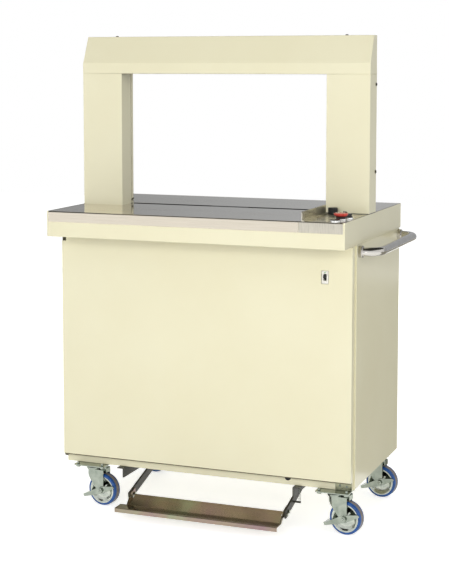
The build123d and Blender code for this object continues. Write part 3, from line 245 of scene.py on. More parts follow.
finish = {
    "cream": powderCoatedSteel(),
    "stainless": rolledStainless("rolledStainlessSheet", stainlessTop, (0.07, 0.15), (0.012, 1, 1)),
    "brushed": rolledStainless("brushedStainlessSheet", brushedPanel, (0.2, 0.34), (1, 0.012, 0.04)),
    "guard": rolledStainless("brushedStainlessGuard", brushedPanel, (0.2, 0.34), (1, 0.012, 1)),
    "zinc": platedSteel("brightZincPlate", [(0.3, "8B948A"), (0.7, "A5ACA2")], 22, (0.1, 0.18), 0.02),
    "newZinc": platedSteel("newZincPlate", [(0.3, "ABB1A8"), (0.7, "C6CBC2")], 10, (0.1, 0.2), 0.02),
    # a darker, more olive zinc, for the corner plate on the rail
    "darkOliveZinc": platedSteel("darkOliveZincPlate", [(0.3, "8B8C76"), (0.7, "A5A68D")], 9, (0.24, 0.38), 0.05),
    "blackOxide": platedSteel("blackOxideSteel", [(0.3, "38362C"), (0.7, "55523F")],
                              5, (0.2, 0.34), 0.04),
    "olive": platedSteel("oliveChromatePlate", [(0.32, "93967F"), (0.5, "97897A"), (0.68, "957F80")],
                         130, (0.1, 0.16), 0.03),
    "chrome": platedSteel("polishedChrome", [(0.3, "E2E2E0"), (0.7, "F4F4F2")], 20, (0.05, 0.1), 0.03),
    "tube": platedSteel("satinNickelTube", [(0.3, "C1BEB8"), (0.7, "CCC9C4")], 30, (0.12, 0.2), 0.02),
    "castZinc": platedSteel("zincDieCasting", [(0.3, "7F837C"), (0.7, "9A9E96")], 10, (0.35, 0.5)),
    # dark enamel on the treadle arms; on the slide plate it is painted shade for the strap slot
    "darkBarAndSlotShade": paintedSteel("blackenedBarAndSlotShade", "24221B", "3A372D"),
    "bracket": paintedSteel("primedSheet", "3F3F38", "50504A"),
    "motor": paintedSteel("motorEnamel", "4C565B", "5B666B", (0.3, 0.45)),
    # black plastic parts, and the slot strip, which is painted shade in the strap slot
    "black": mouldedPlastic("blackNylonAndSlotShade", "161615", "242423", (0.3, 0.45)),
    "red": redMushroom(),
    "green": mouldedPlastic("greenLampLens", "4E9A4C", "63B35C", (0.12, 0.2), 3.0, 0.02),
    "white": mouldedPlastic("whiteUreaResin", "E6E3D8", "F2F0E8", (0.28, 0.4)),
    # painted shade: a dark strip for the shaded gaps at the table's joints
    "gapShade": mouldedPlastic("gapShadeStrip", "26251F", "36342B", (0.4, 0.55), 2.0, 0.2),
    # painted shade: the dark line under the door's lower edge
    "doorShade": mouldedPlastic("lowerDoorShadeStrip", "4A432E", "5C5439", (0.7, 0.85), 1.5, 0.3),
    "reel": mouldedPlastic("reelPolystyrene", "2B2E31", "3A3E42", (0.35, 0.5), 2.0),
    "tyre": castPolyurethane(),
    "tread": mouldedPlastic("dustyTread", "756C66", "938A82", (0.5, 0.65), 1.5, 0.25),
    "strap": polypropyleneStrap(),
}
print("finishes made:", len(finish))

finishOf = {
    "front_table_plate": "stainless", "rear_table_plate": "stainless", "control_panel": "brushed",
    # the slide plate is painted dark: painted shade for the strap slot
    "panel_guard": "guard", "slide_plate": "darkBarAndSlotShade", "control_bezels": "chrome",
    "push_handle": "tube", "arch_track": "black", "start_button": "black", "stop_button": "red",
    "mode_selector": "black", "reset_selector": "black", "tension_knob": "black",
    "breaker_toggle": "black", "breaker_body": "white", "treadle_plate": "olive",
    "treadle_arms": "darkBarAndSlotShade", "treadle_brackets": "bracket", "treadle_bolts": "newZinc",
    "return_spring": "zinc", "caster_plates": "zinc", "caster_bolts": "zinc",
    "arch_screws": "blackOxide", "door_hinges": "blackOxide", "reel_stand": "bracket",
    "sealing_head": "castZinc", "feed_roller": "zinc", "pinch_roller": "zinc",
    "drive_motor": "motor", "strap_coil": "strap", "strap_reel": "reel",
}
for corner in corners:
    finishOf.update({corner + "_fork": "zinc", corner + "_wheel": "zinc", corner + "_brake": "zinc",
                     corner + "_tyre": "tyre"})


def setFinish(piece, key):
    piece.data.materials.clear()
    piece.data.materials.append(finish[key])


for name, node in nodes.items():
    setFinish(node, finishOf.get(name, "cream"))
print("CAD nodes finished")


def meshData(name, mesh):
    data = bpy.data.meshes.new(name)
    mesh.to_mesh(data)
    mesh.free()
    return data


def placeObject(name, data):
    placed = bpy.data.objects.new(name, data)
    bpy.context.scene.collection.objects.link(placed)
    return placed


def addPiece(name, mesh, body, key):
    data = meshData(name, mesh)
    piece = placeObject(name, data)
    data.materials.append(finish[key])
    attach(piece, body)
    return piece


sheetEdge = {
    "shear": 0.4, "fold": 2.0, "broad": 8, "long": 60, "shortest": 3, "segments": 3,
    "steelFold": {"front_table_plate": 4.0, "control_panel": 4.0, "rear_table_plate": 0.8},
    "flatBelow": 0.6, "sharpAbove": 32, "creaseAbove": 42,
}


def roundEdges(mesh, edges, widthMm):
    bmesh.ops.bevel(mesh, geom=edges, offset=widthMm * mm, segments=sheetEdge["segments"],
                    profile=0.5, affect="EDGES", clamp_overlap=False)


def sharpenCreases(mesh, angle):
    for edge in mesh.edges:
        edge.smooth = len(edge.link_faces) == 2 and edge.calc_face_angle(0) < math.radians(angle)


def isSharp(edge):
    return len(edge.link_faces) == 2 and edge.calc_face_angle(0) > math.radians(sheetEdge["sharpAbove"])


def isFold(edge):
    # a long outer corner between two broad faces, as a press brake leaves
    length = edge.calc_length()
    return (length > sheetEdge["long"] * mm and edge.is_convex
            and all(face.calc_area() / length > sheetEdge["broad"] * mm for face in edge.link_faces))


def softenEdges(node, foldMm):
    # the CAD form with its folds and sheared edges rounded, in place of the node
    mesh = bmesh.new()
    mesh.from_mesh(nodes[node].data)
    bmesh.ops.remove_doubles(mesh, verts=mesh.verts, dist=weldGap)
    bmesh.ops.dissolve_limit(mesh, angle_limit=math.radians(sheetEdge["flatBelow"]),
                             verts=mesh.verts, edges=mesh.edges)
    folds = [edge for edge in mesh.edges if isSharp(edge) and isFold(edge)]
    roundEdges(mesh, folds, foldMm)
    shortest = sheetEdge["shortest"] * mm
    shears = [edge for edge in mesh.edges if isSharp(edge) and edge.calc_length() > shortest]
    roundEdges(mesh, shears, sheetEdge["shear"])
    for face in mesh.faces:
        face.smooth = True
    sharpenCreases(mesh, sheetEdge["creaseAbove"])
    piece = addPiece(node + "Formed", mesh, bodyOf[node], finishOf.get(node, "cream"))
    even = piece.modifiers.new("evenFaces", "WEIGHTED_NORMAL")
    even.weight = 100
    even.keep_sharp = True
    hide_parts(node)
    print(node, "folds:", len(folds), "shears:", len(shears))


for node in ("left_side_panel", "right_side_panel", "table_frame", "front_table_plate",
             "rear_table_plate", "control_panel", "beam_cover", "arch_rear_covers",
             "left_column", "right_column", "front_door", "cabinet_frame", "treadle_plate",
             "treadle_brackets", "floor_pan", "electric_box", "slide_plate"):
    softenEdges(node, sheetEdge["steelFold"].get(node, sheetEdge["fold"]))
print("sheet edges softened")


def looseBoxes(node):
    # lowest and highest corner of each separate solid in a node
    mesh = bmesh.new()
    mesh.from_mesh(nodes[node].data)
    bmesh.ops.remove_doubles(mesh, verts=mesh.verts, dist=weldGap)
    left, boxes = set(mesh.verts), []
    while left:
        queue = [left.pop()]
        group = list(queue)
        while queue:
            for edge in queue.pop().link_edges:
                for vert in edge.verts:
                    if vert in left:
                        left.remove(vert)
                        queue.append(vert)
                        group.append(vert)
        boxes.append((Vector([min(v.co[i] for v in group) for i in range(3)]),
                      Vector([max(v.co[i] for v in group) for i in range(3)])))
    mesh.free()
    return sorted(boxes, key=lambda box: tuple(box[0]))


def addTurned(mesh, profile, place, toward, around=40):
    # closed form turned about an axis; the profile is (radius, height) in mm
    turn = Vector((0, 0, 1)).rotation_difference(Vector(toward).normalized()).to_matrix()
    rings = []
    for radius, height in profile:
        count = around if radius > 0 else 1
        angles = [2 * math.pi * i / around for i in range(count)]
        rings.append([mesh.verts.new(Vector(place) + turn @ Vector(
            (radius * mm * math.cos(angle), radius * mm * math.sin(angle), height * mm)))
            for angle in angles])
    for low, high in zip(rings, rings[1:]):
        for i in range(around):
            j = (i + 1) % around
            quad = [low[i % len(low)], low[j % len(low)], high[j % len(high)], high[i % len(high)]]
            face = mesh.faces.new(list(dict.fromkeys(quad)))
            face.smooth = True


crossHead = {"around": 32, "steps": 10, "dome": 0.45, "crossReach": 0.62, "crossHalf": 0.14,
             "crossDeep": 0.5}


def addCrossHead(mesh, place, toward, radius, height, spin):
    # pan head with a pressed cross recess; the dome and the cross are one polar grid
    turn = Vector((0, 0, 1)).rotation_difference(Vector(toward).normalized()).to_matrix()
    around, steps = crossHead["around"], crossHead["steps"]
    rings = []
    for step in range(steps + 1):
        share = step / steps
        ring = []
        for i in range(around if step else 1):
            angle = 2 * math.pi * i / around
            x, y = radius * share * math.cos(angle), radius * share * math.sin(angle)
            top = height * (1 - crossHead["dome"] * share ** 4) if step < steps else 0.0
            if share < crossHead["crossReach"] and min(abs(x), abs(y)) < crossHead["crossHalf"] * radius:
                top -= crossHead["crossDeep"] * height * (1 - share)
            flat = Matrix.Rotation(spin, 3, "Z") @ Vector((x, y, top))
            ring.append(mesh.verts.new(Vector(place) + turn @ flat * mm))
        rings.append(ring)
    for low, high in zip(rings, rings[1:]):
        for i in range(around):
            j = (i + 1) % around
            quad = [low[i % len(low)], high[i % len(high)], high[j % len(high)], low[j % len(low)]]
            face = mesh.faces.new(list(dict.fromkeys(quad)))
            face.smooth = True


def addBlock(mesh, low, high, roundMm):
    made = bmesh.ops.create_cube(mesh, size=1.0)["verts"]
    low, high = Vector(low), Vector(high)
    for vert in made:
        vert.co = Vector([low[i] + (vert.co[i] + 0.5) * (high[i] - low[i]) for i in range(3)])
    edges = list({edge for vert in made for edge in vert.link_edges})
    rounded = bmesh.ops.bevel(mesh, geom=edges, offset=roundMm * mm, segments=3, profile=0.5,
                              affect="EDGES")
    for face in rounded["faces"]:
        face.smooth = True


screwHeads = {"radius": 4.5, "height": 2.9, "washer": (5.6, 0.5), "underHead": 4.0, "sink": 0.5}


def addArchScrews():
    mesh = bmesh.new()
    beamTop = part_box("beam_cover")[1].z
    for low, high in looseBoxes("arch_screws"):
        middle = (low + high) / 2
        size = high - low
        if size.z < size.x:
            place, toward = Vector((middle.x, middle.y, beamTop)), (0, 0, 1)
        else:
            out = 1 if middle.x > 0 else -1
            place, toward = Vector((low.x if out > 0 else high.x, middle.y, middle.z)), (out, 0, 0)
        radius, thick = screwHeads["washer"]
        addTurned(mesh, [(0, 0), (radius, 0), (radius, thick), (screwHeads["underHead"], thick),
                         (0, thick)], place, toward)
        addCrossHead(mesh, place + Vector(toward) * thick * screwHeads["sink"] * mm, toward,
                     screwHeads["radius"], screwHeads["height"],
                     spin=middle.z * 9 + middle.x)  # each cross stands at its own angle
    piece = addPiece("archScrewHeads", mesh, "machine", "blackOxide")
    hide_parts("arch_screws")


rearScrews = {"radius": 4.0, "height": 2.0, "inset": 16, "across": 4, "up": 3}


def addRearPanelScrews():
    # pan heads round the rear panel, one row along each edge
    low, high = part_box("rear_panel")
    inset = rearScrews["inset"] * mm
    mesh = bmesh.new()
    across, up = rearScrews["across"], rearScrews["up"]
    for i in range(across):
        for j in range(up):
            if 0 < i < across - 1 and 0 < j < up - 1:
                continue
            x = low.x + inset + (high.x - low.x - 2 * inset) * i / (across - 1)
            z = low.z + inset + (high.z - low.z - 2 * inset) * j / (up - 1)
            addCrossHead(mesh, (x, high.y, z), (0, 1, 0), rearScrews["radius"], rearScrews["height"],
                         spin=i + 2 * j)
    addPiece("rearPanelScrews", mesh, "machine", "zinc")


cornerPlate = {"width": 49, "thick": 1.6, "gap": 0.6, "round": 0.5,
               "screws": ((14, 14), (34, 12)), "screwRadius": 3.4, "screwHeight": 1.8}


def addCornerPlate():
    # plated angle bolted on the right-hand end of the rail under the door
    low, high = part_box("cabinet_frame")
    gap = cornerPlate["gap"] * mm
    left, face = high.x - cornerPlate["width"] * mm, low.y - cornerPlate["thick"] * mm
    bottom, top = low.z + gap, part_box("front_door")[0].z - gap
    mesh = bmesh.new()
    addBlock(mesh, (left, face, bottom), (high.x, low.y, top), cornerPlate["round"])
    addPiece("cornerPlate", mesh, "machine", "darkOliveZinc")
    mesh = bmesh.new()
    for across, up in cornerPlate["screws"]:
        addCrossHead(mesh, (left + across * mm, face, bottom + up * mm), (0, -1, 0),
                     cornerPlate["screwRadius"], cornerPlate["screwHeight"], spin=across)
    addPiece("cornerPlateScrews", mesh, "machine", "zinc")


railPlug = {"fromMiddle": 258.5, "radius": 9.0, "above": 2.0, "stand": 1.2}


def addRailPlug():
    # nylon grommet in the rail's top edge, half hidden by the door
    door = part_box("front_door")
    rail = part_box("cabinet_frame")
    middle = (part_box("left_side_panel")[0].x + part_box("right_side_panel")[1].x) / 2
    radius, stand = railPlug["radius"], railPlug["stand"]
    mesh = bmesh.new()
    addTurned(mesh, [(0, 0), (radius, 0), (radius, 0.8), (radius - 1, stand), (radius - 3, stand),
                     (radius - 3.5, 0.4), (0, 0.3)],
              (middle + railPlug["fromMiddle"] * mm, rail[0].y,
               door[0].z - (radius - railPlug["above"]) * mm), (0, -1, 0))
    addPiece("railGrommet", mesh, "machine", "black")


strapFingers = {"out": 4.5, "root": 1.5, "long": 8.5, "thick": 1.8, "round": 0.6,
                "apart": 4.5, "spread": 2.5, "up": 12, "tilt": 18}


def addStrapFingers():
    # two sprung fingers at the foot of each column, which hold the strap in its slot
    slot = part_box("arch_track")
    middle = (slot[0].y + slot[1].y) / 2
    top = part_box("rear_table_plate")[1].z
    out, root = strapFingers["out"] * mm, strapFingers["root"] * mm
    reach, half = strapFingers["long"] * mm / 2, strapFingers["thick"] / 2 * mm
    for side, column in ((1, "left_column"), (-1, "right_column")):
        low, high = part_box(column)
        face = high.x if side > 0 else low.x
        mesh = bmesh.new()
        for way in (-1, 1):
            finger = bmesh.new()
            addBlock(finger, (-root, -reach, -half), (out, reach, half), strapFingers["round"])
            place = (face, middle + way * strapFingers["spread"] * mm,
                     top + (strapFingers["up"] + way * strapFingers["apart"] / 2) * mm)
            finger.transform(Matrix.Translation(place)
                             @ Matrix.Rotation(math.radians(way * strapFingers["tilt"]), 4, "X")
                             @ Matrix.Scale(side, 4, (1, 0, 0)))
            data = meshData("finger", finger)
            mesh.from_mesh(data)
            bpy.data.meshes.remove(data)
        bmesh.ops.recalc_face_normals(mesh, faces=mesh.faces)
        addPiece(column + "Fingers", mesh, "machine", "blackOxide")


jointLines = {"wide": 2.2, "proud": 0.25, "sunk": 1, "inset": 0.4, "fromFront": 6, "round": 0.2,
              "foot": 1.6, "footProud": 0.5, "footLap": 1, "footSunk": 0.5, "footOut": 0.2}


def addJointLines():
    # dark strips painted as the shade in the gap between the steel top and the painted frame, and round the right
    # column's foot
    rear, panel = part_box("rear_table_plate"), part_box("control_panel")
    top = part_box("table_frame")[1].z
    wide, proud, inset = [jointLines[key] * mm for key in ("wide", "proud", "inset")]
    front, bottom = panel[0].y + jointLines["fromFront"] * mm, top - jointLines["sunk"] * mm
    mesh = bmesh.new()
    for x in (panel[1].x - inset, rear[0].x + inset - wide):
        addBlock(mesh, (x, front, bottom), (x + wide, rear[1].y, top + proud), jointLines["round"])
    addPiece("tableJointShadeStrip", mesh, "machine", "gapShade")
    low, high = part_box("right_column")
    out, lap = jointLines["footProud"] * mm, jointLines["footLap"] * mm
    bottom, top = top - jointLines["footSunk"] * mm, top + jointLines["foot"] * mm
    mesh = bmesh.new()
    for x0, y0, x1, y1 in ((low.x - out, low.y - out, high.x, low.y + lap),
                           (low.x - out, low.y - out, low.x + lap, high.y),
                           (high.x - lap, low.y - out, high.x + jointLines["footOut"] * mm, high.y)):
        addBlock(mesh, (x0, y0, bottom), (x1, y1, top), jointLines["round"])
    addPiece("columnFootShadeStrip", mesh, "machine", "gapShade")


slotShadeStrip = {"thick": 1.0, "deep": 14, "under": 0.3, "clear": 1.5, "ends": 6, "round": 0.2}


def addSlotShadeStrip():
    # black strip on the rear wall of the strap slot, on both sides of the slide plate: painted shade for the
    # slot's dark line
    rear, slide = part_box("rear_table_plate"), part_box("slide_plate")
    left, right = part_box("left_column")[1].x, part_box("right_column")[0].x
    ends, clear = slotShadeStrip["ends"] * mm, slotShadeStrip["clear"] * mm
    top = rear[1].z - slotShadeStrip["under"] * mm
    front, bottom = rear[0].y - slotShadeStrip["thick"] * mm, top - slotShadeStrip["deep"] * mm
    mesh = bmesh.new()
    for x0, x1 in ((left + ends, slide[0].x - clear), (slide[1].x + clear, right - ends)):
        addBlock(mesh, (x0, front, bottom), (x1, rear[0].y, top), slotShadeStrip["round"])
    addPiece("slotShadeStrip", mesh, "machine", "black")


topStrip = {"below": 1.6, "thick": 1.5, "lap": 2.0, "inset": 3.0, "round": 0.4}


def addTopStrip():
    # painted strip that closes the joint between the beam cover and its rear cover
    cover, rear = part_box("beam_cover"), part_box("arch_rear_covers")
    lap, inset = topStrip["lap"] * mm, topStrip["inset"] * mm
    top = rear[1].z - topStrip["below"] * mm
    mesh = bmesh.new()
    addBlock(mesh, (rear[0].x + inset, cover[1].y - lap, top - topStrip["thick"] * mm),
             (rear[1].x - inset, rear[1].y - lap, top), topStrip["round"])
    addPiece("beamTopStrip", mesh, "machine", "cream")


panelHem = {"wide": 5.2, "deep": 3.0, "proud": 2.6, "front": 0.2, "ends": 1, "round": 1.0}


def addPanelHems():
    # folded front edge of each side panel, which shows as a bright line beside the door
    for side in ("left_side_panel", "right_side_panel"):
        low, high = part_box(side)
        out = 1 if high.x > 0 else -1
        edge = high.x if out > 0 else low.x
        left, right = sorted((edge + out * panelHem["proud"] * mm,
                              edge + out * (panelHem["proud"] - panelHem["wide"]) * mm))
        ends = panelHem["ends"] * mm
        mesh = bmesh.new()
        addBlock(mesh, (left, low.y - panelHem["front"] * mm, low.z + ends),
                 (right, low.y + panelHem["deep"] * mm, high.z - ends), panelHem["round"])
        addPiece(side + "Hem", mesh, "machine", "cream")


wheelForm = {
    "bowl": ((12.4, 11.7), (14, 10.6), (17, 8.9), (21, 8.2), (25, 8.5), (29, 9.8), (33, 12.0),
             (36, 14.8), (38, 15.5)),
    "lap": ((40.0, 15.4), (40.5, 15.15), (40.0, 14.95)), "sheet": 0.8, "around": 64,
    "band": ((48.15, 5.5), (48.05, 6.5), (47.5, 6.5)), "bandAround": 72, "creaseAbove": 50,
}


def addWheelDishes():
    # pressed bowl on both sides of each wheel, lapped over the tyre, and the tyre's grey worn band
    bowl, lap, half = list(wheelForm["bowl"]), list(wheelForm["lap"]), list(wheelForm["band"])
    under = [(r, h - wheelForm["sheet"]) for r, h in reversed(bowl)]
    over = [(r, -h) for r, h in reversed(half)]
    for corner in corners:
        roll = jointOf[corner + "_roll"]
        axis, hub = Vector(roll["axis"]), Vector(roll["pos_m"])
        mesh = bmesh.new()
        for way in (-1, 1):
            addTurned(mesh, bowl + lap + under + bowl[:1], hub, axis * way, wheelForm["around"])
        bmesh.ops.recalc_face_normals(mesh, faces=mesh.faces)
        sharpenCreases(mesh, wheelForm["creaseAbove"])
        addPiece(corner + "WheelDish", mesh, corner + "_roll", "newZinc")
        mesh = bmesh.new()
        addTurned(mesh, half + over + half[:1], hub, axis, wheelForm["bandAround"])
        bmesh.ops.recalc_face_normals(mesh, faces=mesh.faces)
        sharpenCreases(mesh, wheelForm["creaseAbove"])
        addPiece(corner + "TreadBand", mesh, corner + "_roll", "tread")


doorGapShade = {"drop": 2.4, "inset": 1.2, "back": 1, "round": 0.4}


def addDoorGapShade():
    # dark strip along the door's lower edge: painted shade that shows as a thin line over the rail
    low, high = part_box("front_door")
    inset, drop = doorGapShade["inset"] * mm, doorGapShade["drop"] * mm
    mesh = bmesh.new()
    addBlock(mesh, (low.x + inset, low.y + inset, low.z - drop),
             (high.x - inset, high.y - doorGapShade["back"] * mm, low.z), doorGapShade["round"])
    addPiece("doorGapShade", mesh, "door", "doorShade")


breakerLamp = {"radius": 1.9, "above": 14.2, "stand": 1.4}


def addBreakerLamp():
    # small domed lens above the breaker's lever
    low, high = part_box("breaker_toggle")
    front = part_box("breaker_body")[0].y
    radius, stand = breakerLamp["radius"], breakerLamp["stand"]
    mesh = bmesh.new()
    addTurned(mesh, [(0, -1), (radius, -1), (radius, 0.4), (radius * 0.8, 1.0), (radius * 0.4, stand),
                     (0, stand + 0.1)],
              ((low.x + high.x) / 2, front, (low.z + high.z) / 2 + breakerLamp["above"] * mm),
              (0, -1, 0), 24)
    addPiece("breakerLamp", mesh, "machine", "green")


stopMarks = {"ring": 11.0, "width": 1.7, "sweep": 70, "tip": 20, "barb": 2.4, "steps": 12,
             "stand": 0.02, "thick": 0.12}


def onRing(radius, angle):
    return radius * math.cos(angle), radius * math.sin(angle)


def addStopMarks():
    # three turning arrows, as usual on a twist-release mushroom
    low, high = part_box("stop_button")
    centre = Vector(((low.x + high.x) / 2, (low.y + high.y) / 2, high.z))
    mesh = bmesh.new()
    ring, half, steps = stopMarks["ring"], stopMarks["width"] / 2, stopMarks["steps"]
    barb, sweep = stopMarks["barb"] * half, math.radians(stopMarks["sweep"])
    for arrow in range(3):
        start = math.radians(120 * arrow)
        end = start + sweep
        rows = [[onRing(r, start + sweep * step / steps) for r in (ring - half, ring + half)]
                for step in range(steps + 1)]
        head = [onRing(ring - barb, end), onRing(ring + barb, end),
                onRing(ring, end + math.radians(stopMarks["tip"]))]
        outlines = [[a[0], b[0], b[1], a[1]] for a, b in zip(rows, rows[1:])] + [head]
        for outline in outlines:
            face = mesh.faces.new([mesh.verts.new(centre + Vector((x, y, stopMarks["stand"])) * mm)
                                   for x, y in outline])
            lifted = bmesh.ops.extrude_face_region(mesh, geom=[face])["geom"]
            for item in lifted:
                if isinstance(item, bmesh.types.BMVert):
                    item.co.z += stopMarks["thick"] * mm
    bmesh.ops.remove_doubles(mesh, verts=mesh.verts, dist=weldGap)
    bmesh.ops.recalc_face_normals(mesh, faces=mesh.faces)
    addPiece("stopArrows", mesh, "stop_cap", "white")


selectorLine = {"low": (-0.7, 2, -0.3), "high": (0.7, 10.5, 0.15), "round": 0.1,
                "turns": (("mode_selector", "mode_cap", -30), ("reset_selector", "reset_cap", 30))}


def addSelectorMarks():
    # white line let into the finger bar of each selector, on the end that points
    low, high = [tuple(v * mm for v in selectorLine[key]) for key in ("low", "high")]
    for node, body, turn in selectorLine["turns"]:
        x, y = jointOf[body]["pos_m"][:2]
        centre = Vector((x, y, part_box(node)[1].z))
        mesh = bmesh.new()
        addBlock(mesh, low, high, selectorLine["round"])
        mesh.transform(Matrix.Translation(centre) @ Matrix.Rotation(math.radians(turn), 4, "Z"))
        addPiece(node + "Line", mesh, body, "white")


handleWeld = {"bead": 2.6, "flats": 56, "steps": 5, "tube": 12.5, "sunk": 0.2, "flange": 12,
              "ripples": 22, "ripple": 0.12}


def addHandleWelds():
    # fillet weld where the tube meets each flange: a ring of small overlapping ripples
    low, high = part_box("push_handle")
    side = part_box("right_side_panel")[1].x
    z = (low.z + high.z) / 2
    radius = (high.z - low.z) / 2
    flats, steps, bead = handleWeld["flats"], handleWeld["steps"], handleWeld["bead"]
    mesh = bmesh.new()
    for y in (low.y + radius, high.y - radius):
        rings = []
        for step in range(steps + 1):
            lift = math.pi / 2 * step / steps
            ring = []
            for i in range(flats):
                angle = 2 * math.pi * i / flats
                ripple = 1 + handleWeld["ripple"] * math.cos(angle * handleWeld["ripples"])
                out = handleWeld["tube"] - handleWeld["sunk"] + bead * (1 - math.sin(lift)) * ripple
                along = handleWeld["flange"] + bead * (1 - math.cos(lift)) * ripple
                ring.append(mesh.verts.new((side + along * mm, y + out * math.cos(angle) * mm,
                                            z + out * math.sin(angle) * mm)))
            rings.append(ring)
        for a, b in zip(rings, rings[1:]):
            for i in range(flats):
                j = (i + 1) % flats
                face = mesh.faces.new([a[i], a[j], b[j], b[i]])
                face.smooth = True
    bmesh.ops.recalc_face_normals(mesh, faces=mesh.faces)
    addPiece("handleWelds", mesh, "machine", "tube")


casterTrim = {
    "seal": ((21.5, -2.2), (24.5, -2.2), (25.5, -1.6), (25.5, -0.5), (24.5, -0.1), (21.5, -0.1),
             (21.5, -2.2)),
    "threadRadius": 4.6, "thread": 2.6, "reach": 29.0,
}


def addCasterTrim():
    # dust seal under each race, and the turned ends of each axle past its nuts
    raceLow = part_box("caster_plates")[0].z
    radius, thread = casterTrim["threadRadius"], casterTrim["thread"]
    end = [(0, -0.1), (radius, -0.1), (radius, 0.4), (radius - 0.8, thread * 0.7),
           (2.2, thread * 0.8), (1.4, thread * 0.4), (0, thread * 0.4)]
    for corner in corners:
        x, y = jointOf[corner + "_swivel"]["pos_m"][:2]
        roll = jointOf[corner + "_roll"]
        mesh = bmesh.new()
        addTurned(mesh, casterTrim["seal"], (x, y, raceLow), (0, 0, 1))
        addPiece(corner + "DustSeal", mesh, corner + "_swivel", "black")
        axis = Vector(roll["axis"])
        hub = Vector(roll["pos_m"])
        mesh = bmesh.new()
        for way in (-1, 1):
            addTurned(mesh, end, hub + axis * way * casterTrim["reach"] * mm, axis * way, 24)
        addPiece(corner + "AxleEnds", mesh, corner + "_swivel", "zinc")


terminalBox = {"size": (52, 62, 26), "round": 3.0, "gland": (9, 12), "glandSunk": 0.5,
               "gearbox": 60, "drop": 50, "lap": 6, "screw": (3.0, 1.6), "screwInset": 6}


def addTerminalBox():
    # the motor's terminal box with its lid screws and a blanked gland
    low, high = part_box("drive_motor")
    gear, lap, inset = [terminalBox[key] * mm for key in ("gearbox", "lap", "screwInset")]
    middle = Vector(((low.x + high.x) / 2, low.y + gear + (high.y - low.y - gear) / 2,
                     low.z + (high.z - low.z) / 2))
    wide, long, tall = [v * mm for v in terminalBox["size"]]
    base = middle.z - terminalBox["drop"] * mm
    mesh = bmesh.new()
    addBlock(mesh, (middle.x - wide / 2, middle.y - long / 2, base - tall + lap),
             (middle.x + wide / 2, middle.y + long / 2, base + lap), terminalBox["round"])
    radius, length = terminalBox["gland"]
    addTurned(mesh, [(0, 0), (radius, 0), (radius, length * 0.5), (radius - 2, length * 0.6),
                     (radius - 2, length), (radius - 4, length), (0, length - 1)],
              (middle.x + wide / 2 - terminalBox["glandSunk"] * mm, middle.y, base - tall / 2 + lap),
              (1, 0, 0), 28)
    addPiece("terminalBox", mesh, "machine", "motor")
    mesh = bmesh.new()
    for i in (-1, 1):
        for j in (-1, 1):
            addCrossHead(mesh, (middle.x + i * (wide / 2 - inset), middle.y + j * (long / 2 - inset),
                                base - tall + lap + 0.1 * mm), (0, 0, -1), *terminalBox["screw"],
                         spin=i + j)
    addPiece("terminalBoxScrews", mesh, "machine", "zinc")


addArchScrews()
addRearPanelScrews()
addCornerPlate()
addRailPlug()
addDoorGapShade()
addStrapFingers()
addJointLines()
addPanelHems()
addTopStrip()
addSlotShadeStrip()
addWheelDishes()
addBreakerLamp()
addStopMarks()
addSelectorMarks()
addHandleWelds()
addCasterTrim()
addTerminalBox()
print("small pieces added")


photoCamera = {"place": (1.52358, -4.01840, 1.32947), "yaw": 0.37138, "pitch": 0.09304,
               "focalPx": 1437.44, "heightPx": 566, "sensorMm": 36.0, "lift": -0.15}


def addCamera():
    data = bpy.data.cameras.new("photoCamera")
    camera = placeObject("photoCamera", data)
    camera.location = photoCamera["place"]
    camera.rotation_euler = (math.pi / 2 - photoCamera["pitch"], 0, photoCamera["yaw"])
    data.sensor_width = photoCamera["sensorMm"]
    data.lens = photoCamera["sensorMm"] * photoCamera["focalPx"] / photoCamera["heightPx"]
    data.shift_y = photoCamera["lift"]  # the frame's long side is its height
    data.clip_start, data.clip_end = 0.05, 60
    bpy.context.scene.camera = camera


studio = {"floorHalf": 9.0, "floor": "F4F4F2", "glow": 0.62, "sky": 0.5}


def addStage():
    # paper floor that the lens and shiny surfaces see as plain white, with the shadow on it
    mesh = bmesh.new()
    bmesh.ops.create_grid(mesh, x_segments=1, y_segments=1, size=studio["floorHalf"])
    data = meshData("studioFloor", mesh)
    floor = placeObject("studioFloor", data)
    material = bpy.data.materials.new("studioPaper")
    material.use_nodes = True
    tree = material.node_tree
    shader = tree.nodes["Principled BSDF"]
    shader.inputs["Base Color"].default_value = linear(studio["floor"])
    shader.inputs["Roughness"].default_value = 0.9
    seen = addNode(tree, "ShaderNodeLightPath")
    glow = addNode(tree, "ShaderNodeEmission", {"Color": (1, 1, 1, 1), "Strength": studio["glow"]})
    lit = addNode(tree, "ShaderNodeAddShader", links={0: shader.outputs[0], 1: glow.outputs[0]})
    either = addNode(tree, "ShaderNodeMath", {"operation": "MAXIMUM"},
                     {0: seen.outputs["Is Camera Ray"], 1: seen.outputs["Is Glossy Ray"]})
    mix = addNode(tree, "ShaderNodeMixShader",
                  links={0: either.outputs[0], 1: shader.outputs[0], 2: lit.outputs[0]})
    tree.links.new(mix.outputs[0], tree.nodes["Material Output"].inputs["Surface"])
    data.materials.append(material)


def addReflector(name, outline, stops, strength=1.0):
    # a sheet of the studio that only shiny surfaces see, graded along its width
    mesh = bmesh.new()
    mesh.faces.new([mesh.verts.new(corner) for corner in outline])
    data = meshData(name, mesh)
    sheet = placeObject(name, data)
    sheet.visible_camera = sheet.visible_diffuse = False
    sheet.visible_shadow = sheet.visible_transmission = False
    material = bpy.data.materials.new(name + "Cloth")
    material.use_nodes = True
    tree = material.node_tree
    across = addNode(tree, "ShaderNodeSeparateXYZ", links={
        "Vector": addNode(tree, "ShaderNodeTexCoord").outputs["Generated"]}).outputs["X"]
    glow = addNode(tree, "ShaderNodeEmission", {"Strength": strength},
                   {"Color": rampOf(tree, across, stops)})
    tree.links.new(glow.outputs[0], tree.nodes["Material Output"].inputs["Surface"])
    data.materials.append(material)


